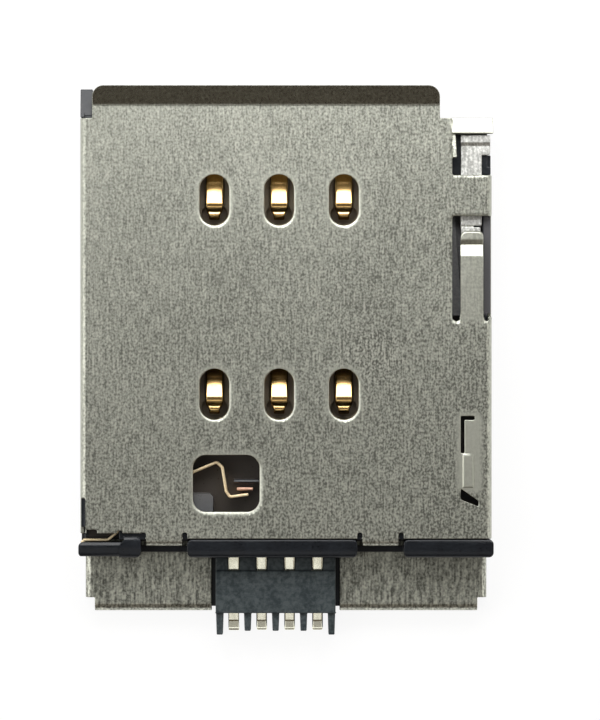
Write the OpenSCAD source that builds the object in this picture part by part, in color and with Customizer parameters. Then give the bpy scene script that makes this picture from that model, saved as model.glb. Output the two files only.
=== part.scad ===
// Push-push card socket on a raised base: a folded cover over a moulded deck, a sliding ejector
// with a heart-shaped cam, six sprung contacts and a card switch.
// The card goes in at the front (+Y), the solder tails leave at the rear (-Y), z = 0 is the board.

/* [Card] */
// Width of the card
card_w = 12; // [11.8:0.05:12.2]
// Length of the card
card_l = 15; // [14.6:0.05:15.4]
// Gap between the card and each side of its lane
card_gap = 0.05; // [0.03:0.01:0.1]
// From the card's right edge to the nearest column of contacts
pad_edge = 2.19; // [2:0.01:2.4]
// Spacing of the contact columns
column_pitch = 2.54; // [2.4:0.01:2.65]
// Spacing of the two contact rows
row_pitch = 7.62; // [7.4:0.01:7.8]
// From the fold of the lip to the front row
row_inset = 3.65; // [3.5:0.01:3.8]
// How far a locked card stands out past the lip
card_proud = 0.1; // [0:0.01:0.3]

/* [Heights] */
// Height of the base, board to deck
base_h = 1; // [0.9:0.01:1.3]
// Thickness of the deck floor
floor_t = 0.45; // [0.42:0.01:0.6]
// Clear height of the card lane
lane_h = 0.95; // [0.92:0.01:1.1]

/* [Cover] */
// Length from the fold of the lip to the rear edge
cover_l = 16.94; // [16.8:0.01:17.1]
// Thickness of the sheet steel
sheet = 0.15; // [0.12:0.01:0.17]
// Outside radius of the folds
fold_r = 0.25; // [0.22:0.01:0.3]
// Reach of the lip past its fold
lip_reach = 0.88; // [0.7:0.01:1]
// Upward angle of the lip
lip_angle = 32; // [20:1:40]
// Radius of the lip's front corners
lip_corner_r = 0.45; // [0.2:0.01:0.6]
// Inset of the lip's left end from the cover's side
lip_inset_left = 0.42; // [0.36:0.01:0.6]
// Inset of the lip's right end from the cover's side
lip_inset_right = 2.03; // [1.8:0.01:2.2]
// From the fold of the lip back to the corners of the cover
corner_cut = 0.44; // [0.35:0.01:0.5]
// How far the cover's walls reach down over the base
skirt = 0.35; // [0.25:0.01:0.5]
// Width of the cover's solder legs
leg_w = 1.3; // [1.1:0.05:1.5]
// Length of a contact slot
slot_l = 2; // [1.8:0.01:2.2]
// Width of a contact slot
slot_w = 1.14; // [1:0.01:1.3]
// Width of the switch window
window_w = 2.61; // [2.4:0.01:2.8]
// Length of the switch window
window_l = 2.22; // [2:0.01:2.4]
// Corner radius of the switch window
window_r = 0.5; // [0.3:0.01:0.6]
// From the cover's left side to the window
window_inset = 4.42; // [4.2:0.01:4.6]
// From the cover's rear edge to the window
window_rear = 1.06; // [0.9:0.01:1.2]

/* [Rear tabs] */
// Width of a rear tab
tab_w = 1.42; // [1.2:0.01:1.6]
// Gap beside a rear tab
tab_gap = 0.2; // [0.12:0.01:0.3]
// Place of the left tab's middle, from the centre line
tab_left = -4.78; // [-5:0.01:-4.5]
// Place of the right tab's middle, from the centre line
tab_right = 3.71; // [3.4:0.01:4]
// How far a tab reaches back past the cover's rear edge
tab_reach = 0.28; // [0.24:0.01:0.4]
// Depth of the relief cuts beside the tabs
relief_d = 0.24; // [0.15:0.01:0.3]
// Length of the slit along the left fold, from the rear edge
slit_l = 1.6; // [1.4:0.01:1.8]

/* [Hold-down finger] */
// Length of the window around the finger
finger_window_l = 4.12; // [4:0.01:4.3]
// From the fold of the lip to that window
finger_front = 4.28; // [4.2:0.01:4.4]
// Width of the finger
finger_w = 0.94; // [0.8:0.01:1]
// Width of the slot on each side of the finger
finger_gap = 0.28; // [0.2:0.01:0.3]
// From the front end of the window to the finger's tip
finger_tip = 0.59; // [0.5:0.01:0.7]
// From the finger's tip back to its lowest line
finger_toe = 0.53; // [0.45:0.01:0.6]
// Length of the slope behind its lowest line
finger_slope = 0.45; // [0.35:0.01:0.55]
// From the fold of the lip to the rear end of the corner opening
corner_open = 2.68; // [2.6:0.01:2.8]
// How far the flap at that opening reaches past the cover's side
flap_over = 0.05; // [0.02:0.01:0.07]
// How far the flap slopes down
flap_drop = 0.36; // [0.3:0.01:0.4]
// Width of the flap's leg along the opening
flap_leg_w = 0.17; // [0.12:0.01:0.2]
// Length of the flap's leg
flap_leg_l = 0.95; // [0.8:0.01:1.1]

/* [Lanced tab] */
// From the fold of the lip to the lanced tab's front cut
lance_front = 12.13; // [12:0.01:12.3]
// Length of the lanced tab, front cut to slanted opening
lance_l = 2.84; // [2.6:0.01:3]
// Length of the slit on its left
lance_slit = 1.45; // [1.2:0.01:1.6]
// Width of the slanted opening at its left end
lance_open = 0.43; // [0.3:0.01:0.5]
// Width of the lanced tab
lance_w = 0.7; // [0.6:0.01:0.8]
// Width of its cuts
lance_cut = 0.12; // [0.08:0.01:0.16]
// Depth of its pressed panel
lance_press = 0.05; // [0.03:0.01:0.08]

/* [Deck] */
// How far the rear bar reaches past the cover on each side
bar_over = 0.08; // [0.02:0.01:0.2]
// Depth of the rear bar behind the cover
bar_d = 0.74; // [0.6:0.01:0.8]
// How far the bar's top lies below the cover's top
bar_drop = 0.08; // [0.05:0.01:0.2]
// Radius of the bar's edges
bar_r = 0.28; // [0.2:0.01:0.3]
// Thickness of the left wall
wall_left = 0.31; // [0.28:0.01:0.34]
// Thickness of the right wall
wall_right = 0.18; // [0.15:0.01:0.22]
// Thickness of the wall in front of the bar
wall_rear = 0.36; // [0.3:0.01:0.4]
// Depth of the bevel at the card mouth
mouth_bevel = 0.15; // [0.1:0.01:0.2]
// Height of the rail between the card and the slider
rail_h = 0.3; // [0.2:0.01:0.32]
// Width of that rail
rail_w = 0.18; // [0.15:0.01:0.2]
// Radius of the pegs under the deck
peg_r = 0.3; // [0.25:0.01:0.35]
// Gap of fixed fits
fit_gap = 0.02; // [0.015:0.005:0.025]

/* [Contacts] */
// Width of a contact's spring
contact_w = 0.66; // [0.6:0.01:0.7]
// Thickness of the contact strip
strip_t = 0.15; // [0.12:0.01:0.16]
// Width of a solder tail
tail_w = 0.42; // [0.36:0.01:0.46]
// Length of a spring, root to crown
beam_l = 2.5; // [2.3:0.01:2.6]
// Gap between a contact's crown and the cover
crown_gap = 0.1; // [0.08:0.01:0.2]
// How far the nose dips below the crown
nose_dip = 0.42; // [0.35:0.01:0.5]
// Radius of the crown
crown_r = 0.42; // [0.38:0.01:0.5]
// From the crown to the contact's rounded tip
nose_l = 0.86; // [0.8:0.01:0.9]
// How far the crown lies in front of its slot's middle
crown_lead = 0.22; // [0.1:0.01:0.3]
// Spacing of the rear tails
tail_pitch = 1.1; // [1.05:0.01:1.15]

/* [Switch] */
// Thickness of the switch leaf
leaf_t = 0.12; // [0.1:0.01:0.14]
// Height of the switch leaf
leaf_h = 0.6; // [0.5:0.01:0.65]
// Gap between the switch leaf and the floor
leaf_lift = 0.08; // [0.05:0.01:0.1]
// Gap between the open switch contacts
switch_gap = 0.12; // [0.08:0.01:0.16]

/* [Ejector] */
// Travel from ejected to locked
lock_travel = 3.3; // [3.2:0.01:3.4]
// Travel past the locked place
over_travel = 0.6; // [0.5:0.01:0.65]
// Running gap round the slider
run_gap = 0.06; // [0.05:0.005:0.08]
// Gap between the slider and the cover
top_gap = 0.12; // [0.1:0.01:0.15]
// Width of the slider
slider_w = 2.91; // [2.85:0.01:3.2]
// Length of the slider in front of the card's edge
slider_front = 7.75; // [7.6:0.01:7.8]
// Length of the slider behind the card's edge
slider_tail = 1.6; // [1.5:0.01:1.7]
// Reach of the slider's arm across the card's edge
arm_reach = 2; // [1.8:0.01:2.2]
// Depth of the arm
arm_d = 0.8; // [0.7:0.01:0.9]
// Width of the cam block
cam_w = 1.46; // [1.42:0.01:1.5]
// Height of the cam block
cam_h = 0.44; // [0.4:0.01:0.46]
// Depth of the cam track
track_d = 0.28; // [0.24:0.01:0.3]
// Sideways swing of the cam pin, straight track to either side
cam_swing = 0.3; // [0.28:0.01:0.32]
// Wall of the cam block beside the track
cam_wall = 0.13; // [0.1:0.01:0.14]
// Radius of the cam pin
pin_r = 0.11; // [0.1:0.005:0.12]
// Outside diameter of the eject spring
spring_d = 0.68; // [0.6:0.01:0.72]
// Wire diameter of the eject spring
wire_d = 0.11; // [0.09:0.01:0.13]
// Turns of the eject spring between its closed ends
spring_turns = 13; // [11:1:15]
// From the card's edge forward to the spring's seat in the slider
spring_seat = 4.2; // [4:0.05:4.4]

/* [Cam link] */
// Length of the link, pivot to pin
link_l = 6.37; // [6.3:0.01:6.45]
// Width of the link's front part
link_w = 0.82; // [0.76:0.01:0.86]
// Length of the link's wide head
head_l = 0.78; // [0.7:0.01:0.85]
// How far the head ends short of the cover's side
head_inset = 0.05; // [0.03:0.01:0.1]
// Width of the link's rear part
link_neck = 0.5; // [0.44:0.01:0.52]
// Thickness of the link
link_t = 0.15; // [0.13:0.01:0.16]
// From the fold of the lip to the pivot
pivot_inset = 1.33; // [1.3:0.01:1.38]
// Radius of the pivot
pivot_r = 0.2; // [0.18:0.01:0.22]
// Gap between the link and the cam block under it
link_lift = 0.1; // [0.08:0.01:0.12]
// How far the link's pivot lies left of the finger's middle
link_offset = 0.02; // [0.01:0.01:0.04]
// From the front of the finger window back to the link's step
link_step = 0.38; // [0.34:0.01:0.42]
// Link left in front of its pivot
link_nose = 0.02; // [0.01:0.005:0.03]

/* [Base] */
// How far the base reaches back past the bar
base_tail = 1.96; // [1.8:0.01:2.1]
// From the fold of the lip to the base's front edge
base_inset = 0.45; // [0.42:0.01:0.6]
// Inset of the base's rear flange from its sides
flange_inset = 0.36; // [0.3:0.01:0.5]
// Width of the frame's rim inside the base
rim_w = 1.2; // [1.1:0.01:1.4]
// Width of the frame's cross ribs
rib_w = 0.9; // [0.7:0.01:1.1]
// Number of open bays between the ribs
bays = 6; // [6:1:8]

/* [Tail comb] */
// Width of the comb
comb_w = 4.72; // [4.6:0.01:4.8]
// Place of the comb's middle, from the centre line
comb_x = -0.41; // [-0.6:0.01:-0.2]
// Depth of the shelf behind the bar, where the tails show
shelf_d = 0.49; // [0.4:0.01:0.6]
// Height of the comb's body above the base
comb_rise = 0.5; // [0.45:0.01:0.6]
// How far the body reaches back past the base
comb_over = 0.25; // [0.2:0.01:0.3]
// Reach of the end ribs past the base
comb_tail = 1.1; // [1.05:0.01:1.2]
// How much shorter the middle ribs are
rib_short = 0.15; // [0.1:0.01:0.2]
// Width of a rib at its root
tooth_root = 0.3; // [0.26:0.01:0.34]
// Width of a rib at its end
tooth_end = 0.24; // [0.2:0.01:0.26]
// Gap between the comb and the base sheet
comb_gap = 0.16; // [0.1:0.01:0.2]

/* [Hidden] */
$fn = 48;
// Overshoot of cutting shapes past the face that they cut
over = 0.3;
// Overlap of shapes that join into one piece
lap = 0.1;
// Straight pieces in each rounded bend of a strip
bend_steps = 6;

// Colours
steel = "#a4a69b";
steel_dark = "#8a8c83";
black_resin = "#1d1d1d";
slider_resin = "#2a2a2b";
grey_resin = "#424b4d";
gold = "#c9a45a";
spring_steel = "#8f9092";

// Stations along Y, front to rear
overall_l = lip_reach + cover_l + bar_d + base_tail + comb_tail;
y_front = overall_l / 2;
y_fold = y_front - lip_reach;
y_corner = y_fold - corner_cut;
y_rear = y_fold - cover_l;
y_bar = y_rear - bar_d;
y_base = y_bar - base_tail;
y_end = y_base - comb_tail;
y_base_front = y_fold - base_inset;
y_inner = y_rear + wall_rear;
y_tab = y_rear - tab_reach;
y_row = [y_fold - row_inset, y_fold - row_inset - row_pitch];
y_crown = [for (y = y_row) y + crown_lead];

// Levels along Z
z_floor = base_h + floor_t;
z_roof = z_floor + lane_h;
z_top = z_roof + sheet;
z_sheet = z_roof + sheet / 2;
z_bar = z_top - bar_drop;
z_strip = base_h + floor_t / 2;
z_slider = z_floor + run_gap;
z_cam = z_slider + cam_h;
z_track = z_cam - track_d;
z_link = z_cam + link_lift;
z_arm = z_floor + rail_h + run_gap;
z_slider_top = z_roof - top_gap;
z_skirt = base_h - skirt;
z_leaf = z_floor + leaf_lift;
z_crown = z_roof - crown_gap - strip_t / 2;

// Inside radius of the sheet's folds
inner_r = fold_r - sheet;

// Widths: the card's lane and the slider's bay fill the cover from side to side
lane_w = card_w + 2 * card_gap;
bay_w = rail_w + slider_w + 2 * run_gap;
cover_w = lane_w + bay_w + wall_left + wall_right + 2 * (sheet + fit_gap);
bar_w = cover_w + 2 * bar_over;

// Places along X, left to right
cover_half = cover_w / 2;
cover_in = cover_half - sheet;
deck_half = cover_in - fit_gap;
base_half = cover_in - fit_gap;
frame_half = base_half - sheet - fit_gap;
lane_left = -deck_half + wall_left;
lane_right = lane_left + lane_w;
slider_left = lane_right + rail_w + run_gap;
bay_right = deck_half - wall_right;
slider_right = bay_right - run_gap;
cam_left = slider_right - cam_w;
spring_x = (slider_left + cam_left) / 2;
columns = [for (i = [2:-1:0]) lane_right - card_gap - pad_edge - i * column_pitch];
lip_left = -cover_half + lip_inset_left;
lip_right = cover_half - lip_inset_right;
finger_right = cover_half - finger_gap;
finger_left = finger_right - finger_w;
open_left = finger_left - finger_gap;
tails = [for (i = [0:3]) comb_x + (i - 1.5) * tail_pitch];
teeth = [for (i = [0:4]) comb_x + (i - 2) * tail_pitch];
tab_x = [tab_left, tab_right];
comb_left = comb_x - comb_w / 2;
comb_right = comb_x + comb_w / 2;

// The ejector at rest, with no card in the socket
y_locked = y_front + card_proud - card_l;
y_pusher = y_locked + lock_travel;
travel = lock_travel + over_travel;
y_slider_front = y_pusher + slider_front;
y_slider_rear = y_pusher - slider_tail;
y_seat = y_pusher + spring_seat;
spring_z = (z_slider + z_slider_top) / 2;
track_w = 2 * (pin_r + run_gap);
cam_x = slider_right - cam_wall - track_w / 2 - cam_swing;

// The cam link
link_x = finger_left + finger_w / 2 - link_offset;
y_pivot = y_fold - pivot_inset;
y_pin = y_pivot - link_l;
y_link_front = y_pivot + pivot_r + link_nose;
y_link_step = y_fold - finger_front - link_step;

// Switch window
window_left = -cover_half + window_inset;
window_right = window_left + window_w;
window_back = y_rear + window_rear;
window_fore = window_back + window_l;

// Switch leaf: root and leg in the bar, long arm, crest, and free tip
leaf_root_y = y_rear - 0.05;
leaf_leg_x = -base_half - fit_gap - leaf_t / 2;
leaf_leg_l = 0.44;
leaf_root_l = 1;
leaf_crest = [window_left + 0.95, window_fore - 0.22];
leaf_heel = [window_left + 1.42, window_back + 0.6];
leaf_tip = [window_left + 2.16, window_back + 0.72];
leaf_path = [
    [leaf_leg_x, leaf_root_y - leaf_leg_l],
    [leaf_leg_x, leaf_root_y],
    [leaf_leg_x + leaf_root_l, leaf_root_y],
    [leaf_leg_x + leaf_root_l + 0.48, leaf_root_y + 0.42],
    [window_left, leaf_crest.y - 0.41],
    leaf_crest,
    leaf_heel,
    leaf_heel + [0.14, -0.08],
    leaf_tip
];
leaf_bends = [0.12, 0.2, 0.6, 0.3, 0.16, 0.1, 0.1];
terminal_shift = 0.13;
terminal_left = tails[0] + terminal_shift;
terminal_w = 0.64;
terminal_y = leaf_tip.y + leaf_t + switch_gap;

function unit(v) = v / norm(v);
function flipped(v) = [for (i = [len(v) - 1:-1:0]) v[i]];

// Points of the arc that rounds corner b between its neighbours a and c
function corner_arc(a, b, c, r) =
    let (
        u = unit(a - b),
        v = unit(c - b),
        half = acos(u * v) / 2,
        centre = b + unit(u + v) * r / sin(half),
        from = b + u * r / tan(half) - centre,
        turn = (180 - 2 * half) * sign(cross(b - a, c - b))
    )
    [for (i = [0:bend_steps])
        let (angle = turn * i / bend_steps)
        centre + [from.x * cos(angle) - from.y * sin(angle), from.x * sin(angle) + from.y * cos(angle)]];

// A bent line through the points p, with one radius for each inner corner
function bent(p, radii) = [
    p[0],
    for (i = [1:len(p) - 2]) each corner_arc(p[i - 1], p[i], p[i + 1], radii[i - 1]),
    p[len(p) - 1]
];

// A line moved sideways by d
function beside(p, d) =
    let (last = len(p) - 1)
    [for (i = [0:last])
        let (
            before = unit(p[max(i, 1)] - p[max(i, 1) - 1]),
            after = unit(p[min(i + 1, last)] - p[min(i + 1, last) - 1]),
            along = unit(before + after)
        )
        p[i] + d * [-along.y, along.x] / (along * after)];

// A strip of thickness t bent along a line, as a flat outline
module strip(p, radii, t) {
    line = bent(p, radii);
    polygon(concat(beside(line, t / 2), flipped(beside(line, -t / 2))));
}

// The same strip standing in the plane of Y and Z, between two places on X
module side_strip(p, radii, t, x0, x1) {
    translate([x0, 0, 0]) rotate([90, 0, 90]) linear_extrude(x1 - x0) strip(p, radii, t);
}

// Box between two corners
module box(lo, hi) {
    translate(lo) cube(hi - lo);
}

// Flat slot with round ends between two points
module lane(a, b, w) {
    translate(a) circle(d = w);
    translate(b) circle(d = w);
    translate(a) rotate(atan2(b.y - a.y, b.x - a.x)) translate([0, -w / 2]) square([norm(b - a), w]);
}

// Rectangle between two corners, with its corners rounded
module round_rect(lo, hi, r) {
    translate([lo.x + r, lo.y]) square([hi.x - lo.x - 2 * r, hi.y - lo.y]);
    translate([lo.x, lo.y + r]) square([hi.x - lo.x, hi.y - lo.y - 2 * r]);
    for (x = [lo.x + r, hi.x - r], y = [lo.y + r, hi.y - r]) translate([x, y]) circle(r);
}

// Block of width w and height h, standing on y = 0, with its two top corners rounded
module arch(w, h, r) {
    translate([-w / 2, 0]) square([w, h - r]);
    translate([-w / 2 + r, 0]) square([w - 2 * r, h]);
    for (side = [-1, 1]) translate([side * (w / 2 - r), h - r]) circle(r);
}

// Block with its top edges rounded to fit inside folds
module eased_block(lo, hi, r) {
    size = hi - lo;
    intersection() {
        translate([(lo.x + hi.x) / 2, hi.y, lo.z]) rotate([90, 0, 0]) linear_extrude(size.y)
            arch(size.x, size.z, r);
        translate([lo.x, (lo.y + hi.y) / 2, lo.z]) rotate([90, 0, 90]) linear_extrude(size.x)
            arch(size.y, size.z, r);
    }
}

// Section of a folded sheet: top, two folds and two walls
module channel(w, h) {
    difference() {
        arch(w, h, fold_r);
        translate([0, -over]) arch(w - 2 * sheet, h - sheet + over, inner_r);
    }
}

// Folded sheet laid along Y, with its top at z_high and its walls down to z_low
module folded_sheet(w, y0, y1, z_low, z_high) {
    translate([0, y1, z_low]) rotate([90, 0, 0]) linear_extrude(y1 - y0) channel(w, z_high - z_low);
}

// Cover

// Middles of the solder legs, and the catches that hold the deck in the cover
leg_front = 0.78;
leg_rear = 3.2;
leg_y = [y_fold - finger_front + leg_front, y_rear + leg_rear];
catch_l = 1.1;
catch_h = 0.35;
catch_rear = 1.5;
catch_pitch = 5;
catch_y = [y_rear + catch_rear, y_rear + catch_rear + catch_pitch];
catch_lift = 0.2;
catch_z = z_floor + catch_lift;
catch_out = 0.1;
// The cover's edge is shorter left of the left tab, where the switch leaf lies in the bar
y_rear_left = y_rear + relief_d - 0.03;
edge_gap = 0.03;

module lip() {
    reach = lip_reach + over;
    intersection() {
        side_strip(
            [[y_fold - fold_r - lap, z_sheet], [y_fold, z_sheet],
             [y_fold + reach, z_sheet + reach * tan(lip_angle)]],
            [fold_r], sheet, lip_left, lip_right
        );
        linear_extrude(2 * z_top)
            round_rect([lip_left, y_corner - over], [lip_right, y_front], lip_corner_r);
    }
}

// Corner of the sheet that slopes down in front of the link, with a leg along the opening
module corner_flap() {
    right = cover_half + flap_over;
    y_flap = y_link_front + run_gap;
    intersection() {
        translate([0, y_corner, 0]) rotate([90, 0, 0]) linear_extrude(y_corner - y_flap + flap_leg_l)
            strip(
                [[open_left - lap, z_sheet], [open_left + lap, z_sheet], [right, z_sheet - flap_drop]],
                [fold_r], sheet
            );
        linear_extrude(2 * z_top) {
            translate([open_left - lap, y_flap]) square([right + over - open_left, y_corner - y_flap]);
            translate([open_left - lap, y_flap - flap_leg_l]) square([flap_leg_w + lap, flap_leg_l + lap]);
        }
    }
}

module rear_tab(x) {
    side_strip(
        [[y_rear + lap, z_sheet], [y_tab + sheet / 2, z_sheet], [y_tab + sheet / 2, z_floor - lap]],
        [fold_r - sheet / 2], sheet, x - tab_w / 2, x + tab_w / 2
    );
}

// Sprung finger that bears on the link
finger_bow = 0.05;
finger_lift = 0.03;
finger_round = 0.2;
y_finger_head = y_fold - finger_front;
y_finger_root = y_finger_head - finger_window_l;

module hold_finger() {
    y_tip = y_finger_head - finger_tip;
    y_low = y_tip - finger_toe;
    z_low = z_link + link_t + finger_lift + sheet / 2;
    intersection() {
        side_strip(
            [[y_finger_root - lap, z_sheet], [y_finger_root + lap, z_sheet],
             [y_low - finger_slope, z_sheet - finger_bow], [y_low, z_low], [y_tip, z_sheet - finger_lift]],
            [0.3, 0.2, 0.12], sheet, finger_left, finger_right
        );
        linear_extrude(2 * z_top)
            round_rect([finger_left, y_finger_root - over], [finger_right, y_tip], finger_round);
    }
}

// Plan of the opening round the finger, with round slot ends at its root
module finger_window() {
    for (x = [open_left, finger_right]) {
        translate([x, y_finger_root + finger_gap / 2]) square([finger_gap, finger_window_l - finger_gap / 2]);
        translate([x + finger_gap / 2, y_finger_root + finger_gap / 2]) circle(d = finger_gap);
    }
    translate([finger_left - lap, y_finger_root]) square([finger_w + 2 * lap, finger_window_l]);
}

y_lance = y_fold - lance_front;

// Plan of the cuts that free the lanced tab
module lanced_cuts() {
    y_slant = y_lance - lance_l;
    slant = 0.7 * lance_w;
    translate([finger_left, y_lance - lance_slit]) square([lance_cut, lance_slit]);
    translate([finger_left, y_lance - lance_cut]) square([lance_w - lance_cut, lance_cut]);
    polygon([
        [finger_left, y_slant],
        [finger_left + lance_w, y_slant - slant],
        [finger_left + lance_w, y_slant - slant - lance_open / 2],
        [finger_left, y_slant - lance_open]
    ]);
}

// Plan of the panel pressed into the lanced tab
module lanced_panel() {
    inset = 1.6 * lance_cut;
    translate([finger_left + inset, y_lance - lance_l])
        square([lance_w - 2 * inset, lance_l - lance_slit]);
}

module cover_openings() {
    reach = (slot_l - slot_w) / 2;
    for (x = columns, y = y_row) lane([x, y - reach], [x, y + reach], slot_w);
    round_rect([window_left, window_back], [window_right, window_fore], window_r);
    finger_window();
    lanced_cuts();
    // Relief beside the rear tabs, and the shorter edge left of them
    for (x = tab_x, side = [-1, 1])
        translate([x + side * (tab_w + tab_gap) / 2 - tab_gap / 2, y_rear - over])
            square([tab_gap, relief_d + over]);
    translate([-cover_half - over, y_rear - over])
        square([tab_left - tab_w / 2 - tab_gap / 2 + cover_half + over, y_rear_left - y_rear + over]);
}

// What is cut away from the cover's sides, right down its walls
module side_openings() {
    outer = cover_half + over;
    top = z_top + over;
    box([-outer, y_corner, -over], [lip_left, y_fold + over, top]);
    box([lip_right, y_corner, -over], [outer, y_fold + over, top]);
    box([open_left, y_fold - corner_open, z_roof - fold_r], [outer, y_fold, top]);
    box([cover_in - lap, y_fold - corner_open, -over], [outer, y_fold, top]);
    box([finger_right, y_finger_root + finger_gap / 2, z_floor + lap], [outer, y_finger_head, top]);
    box([-outer, y_rear - over, -over], [-cover_in + lap, y_rear_left, top]);
    // Slit along the left fold
    box([-outer, y_rear - over, z_roof - 0.2], [-cover_in + 0.06, y_rear + slit_l, top]);
    for (side = [-1, 1], y = catch_y)
        box([side * cover_half - over, y - catch_l / 2 - fit_gap, catch_z - fit_gap],
            [side * cover_half + over, y + catch_l / 2 + fit_gap, catch_z + catch_h + fit_gap]);
}

module cover_shell() color(steel) {
    mid = cover_half - sheet / 2;
    difference() {
        union() {
            folded_sheet(cover_w, y_rear, y_fold, z_skirt, z_top);
            for (side = [-1, 1], y = leg_y)
                box([side * mid - sheet / 2, y - leg_w / 2, 0],
                    [side * mid + sheet / 2, y + leg_w / 2, z_skirt + lap]);
        }
        translate([0, 0, z_roof - fold_r]) linear_extrude(fold_r + sheet + over) cover_openings();
        translate([0, 0, z_top - lance_press]) linear_extrude(over) lanced_panel();
        side_openings();
    }
    lip();
    corner_flap();
    hold_finger();
    for (x = tab_x) rear_tab(x);
}

// Contacts

tail_foot = 0.24;
tail_lean = 0.1;
// Straight strip behind a rear spring's root, which its lead joins
root_l = 0.25;
side_step = 0.85;
// Side on which each rear contact's lead leaves its root
lead_side = [1, 1, -1];
// Length over which a rear lead crosses to its tail
lead_run = 0.8;
// Gap between the deck and a front leg, and between a front foot and the lip's edge
front_gap = 0.3;
front_leg_y = y_corner + front_gap;
front_foot_y = y_front - front_gap;

// Side view of a spring: root, crown and nose
function spring_line(y) = [
    [y + beam_l, z_strip],
    [y, z_crown + 0.06],
    [y - nose_l, z_crown - nose_dip]
];

// A spring with a round nose, after the points that lead to its root
module contact_spring(x, y, lead_in, lead_radii) {
    intersection() {
        side_strip(
            concat(lead_in, spring_line(y)), concat(lead_radii, [0.3, crown_r]), strip_t,
            x - contact_w / 2, x + contact_w / 2
        );
        linear_extrude(2 * z_top) {
            translate([x - contact_w / 2, y - nose_l + contact_w / 2]) square([contact_w, overall_l]);
            translate([x, y - nose_l + contact_w / 2]) circle(d = contact_w);
        }
    }
}

module contact_front(i) color(gold) {
    contact_spring(
        columns[i], y_crown[0],
        [[front_foot_y, strip_t / 2], [front_leg_y, strip_t / 2], [front_leg_y, z_strip]],
        [strip_t, strip_t]
    );
}

// Plan of a rear lead, from the root of its spring to its tail
function lead_line(i) =
    let (
        x = columns[i],
        side = x + lead_side[i] * side_step,
        root = y_crown[1] + beam_l + root_l,
        behind = y_crown[1] - nose_l - pocket_end
    )
    [
        [x, root], [side, root], [side, behind],
        [tails[i + 1], behind - lead_run], [tails[i + 1], y_bar - shelf_d / 2]
    ];

// A flat lead in the floor, grown by a gap where it is cut out of the deck
module flat_lead(line, radii, grow) {
    translate([0, 0, z_strip - strip_t / 2 - grow]) linear_extrude(strip_t + 2 * grow)
        strip(line, radii, tail_w + 2 * grow);
}

module rear_lead(i, grow) {
    flat_lead(lead_line(i), [0.25, 0.3, 0.3], grow);
}

// A tail: through the comb, down and along the board
module tail(x) {
    y_foot = y_end + rib_short;
    y_leg = y_foot + tail_foot;
    side_strip(
        [[y_bar - lap, z_strip], [y_leg + tail_lean, z_strip], [y_leg, strip_t / 2], [y_foot, strip_t / 2]],
        [0.16, 0.12], strip_t, x - tail_w / 2, x + tail_w / 2
    );
}

module contact_rear(i) color(gold) {
    root = y_crown[1] + beam_l + root_l + tail_w / 2;
    contact_spring(columns[i], y_crown[1], [[root, z_strip]], []);
    rear_lead(i, 0);
    tail(tails[i + 1]);
}

// Card switch

module leaf_plan(grow) {
    strip(leaf_path, leaf_bends, leaf_t + 2 * grow);
}

// Leg of the leaf down the side of the base to the board
module leaf_leg(grow) {
    box([leaf_leg_x - leaf_t / 2 - grow, leaf_path[0].y - grow, -over * grow],
        [leaf_leg_x + leaf_t / 2 + grow, leaf_root_y - lap + grow, z_leaf + lap]);
}

module switch_spring() color(gold) {
    translate([0, 0, z_leaf]) linear_extrude(leaf_h) leaf_plan(0);
    leaf_leg(0);
}

terminal_root = terminal_left + tail_w / 2;
// Straight length of the terminal's lead, and the length over which it crosses to its tail
terminal_straight = 0.35;
terminal_run = 0.6;
terminal_line = [
    [terminal_root, terminal_y], [terminal_root, terminal_y - terminal_straight],
    [tails[0], terminal_y - terminal_straight - terminal_run], [tails[0], y_bar - shelf_d / 2]
];

module terminal_lead(grow) {
    flat_lead(terminal_line, [0.3, 0.3], grow);
}

module terminal_post(grow) {
    box([terminal_left - grow, terminal_y - leaf_t / 2 - grow, z_strip - strip_t / 2 - grow],
        [terminal_left + terminal_w + grow, terminal_y + leaf_t / 2 + grow, z_leaf + leaf_h]);
}

module switch_terminal() color(gold) {
    terminal_post(0);
    terminal_lead(0);
    tail(tails[0]);
}

// Deck

// Room for a spring to bend down into the floor, and what is left under it
pocket_side = 0.18;
pocket_end = 0.25;
pocket_floor = base_h + 0.1;
// Corner post in front of the cover's left wall
post_side = cover_half - edge_gap;
post_front = y_front - 0.18;
peg_x = frame_half - rim_w / 2;
peg_y = [y_row[0] - 1, y_rear + 2];
peg_depth = 0.5;
spring_peg_r = spring_d / 2 - wire_d - run_gap;
spring_peg_l = 0.5;
// The right wall is low beside the link, and full height behind it
y_low_wall = y_pin - link_neck - 0.7;
// Lower floor round the switch contacts
switch_sink = 0.1;

module bar_outline() {
    depth = y_rear_left - edge_gap - y_bar;
    intersection() {
        translate([-bar_w / 2, y_bar + depth / 2, base_h]) rotate([90, 0, 90]) linear_extrude(bar_w)
            arch(depth, z_bar - base_h, bar_r);
        linear_extrude(2 * z_top)
            round_rect([-bar_w / 2, y_bar], [bar_w / 2, y_bar + 2 * depth], bar_r);
    }
}

// The rear bar: three lengths between the notches for the cover's tabs
module rear_bar() {
    notch = tab_w / 2 + tab_gap;
    difference() {
        bar_outline();
        box([tab_left - notch, y_rear - edge_gap, 0], [bar_w, y_inner, z_top + over]);
        for (x = tab_x) box([x - notch, y_bar - over, 0], [x + notch, y_inner, z_top + over]);
    }
    for (x = tab_x)
        box([x - notch - lap, y_tab + sheet + fit_gap, base_h], [x + notch + lap, y_inner, z_floor + lap]);
}

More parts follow.
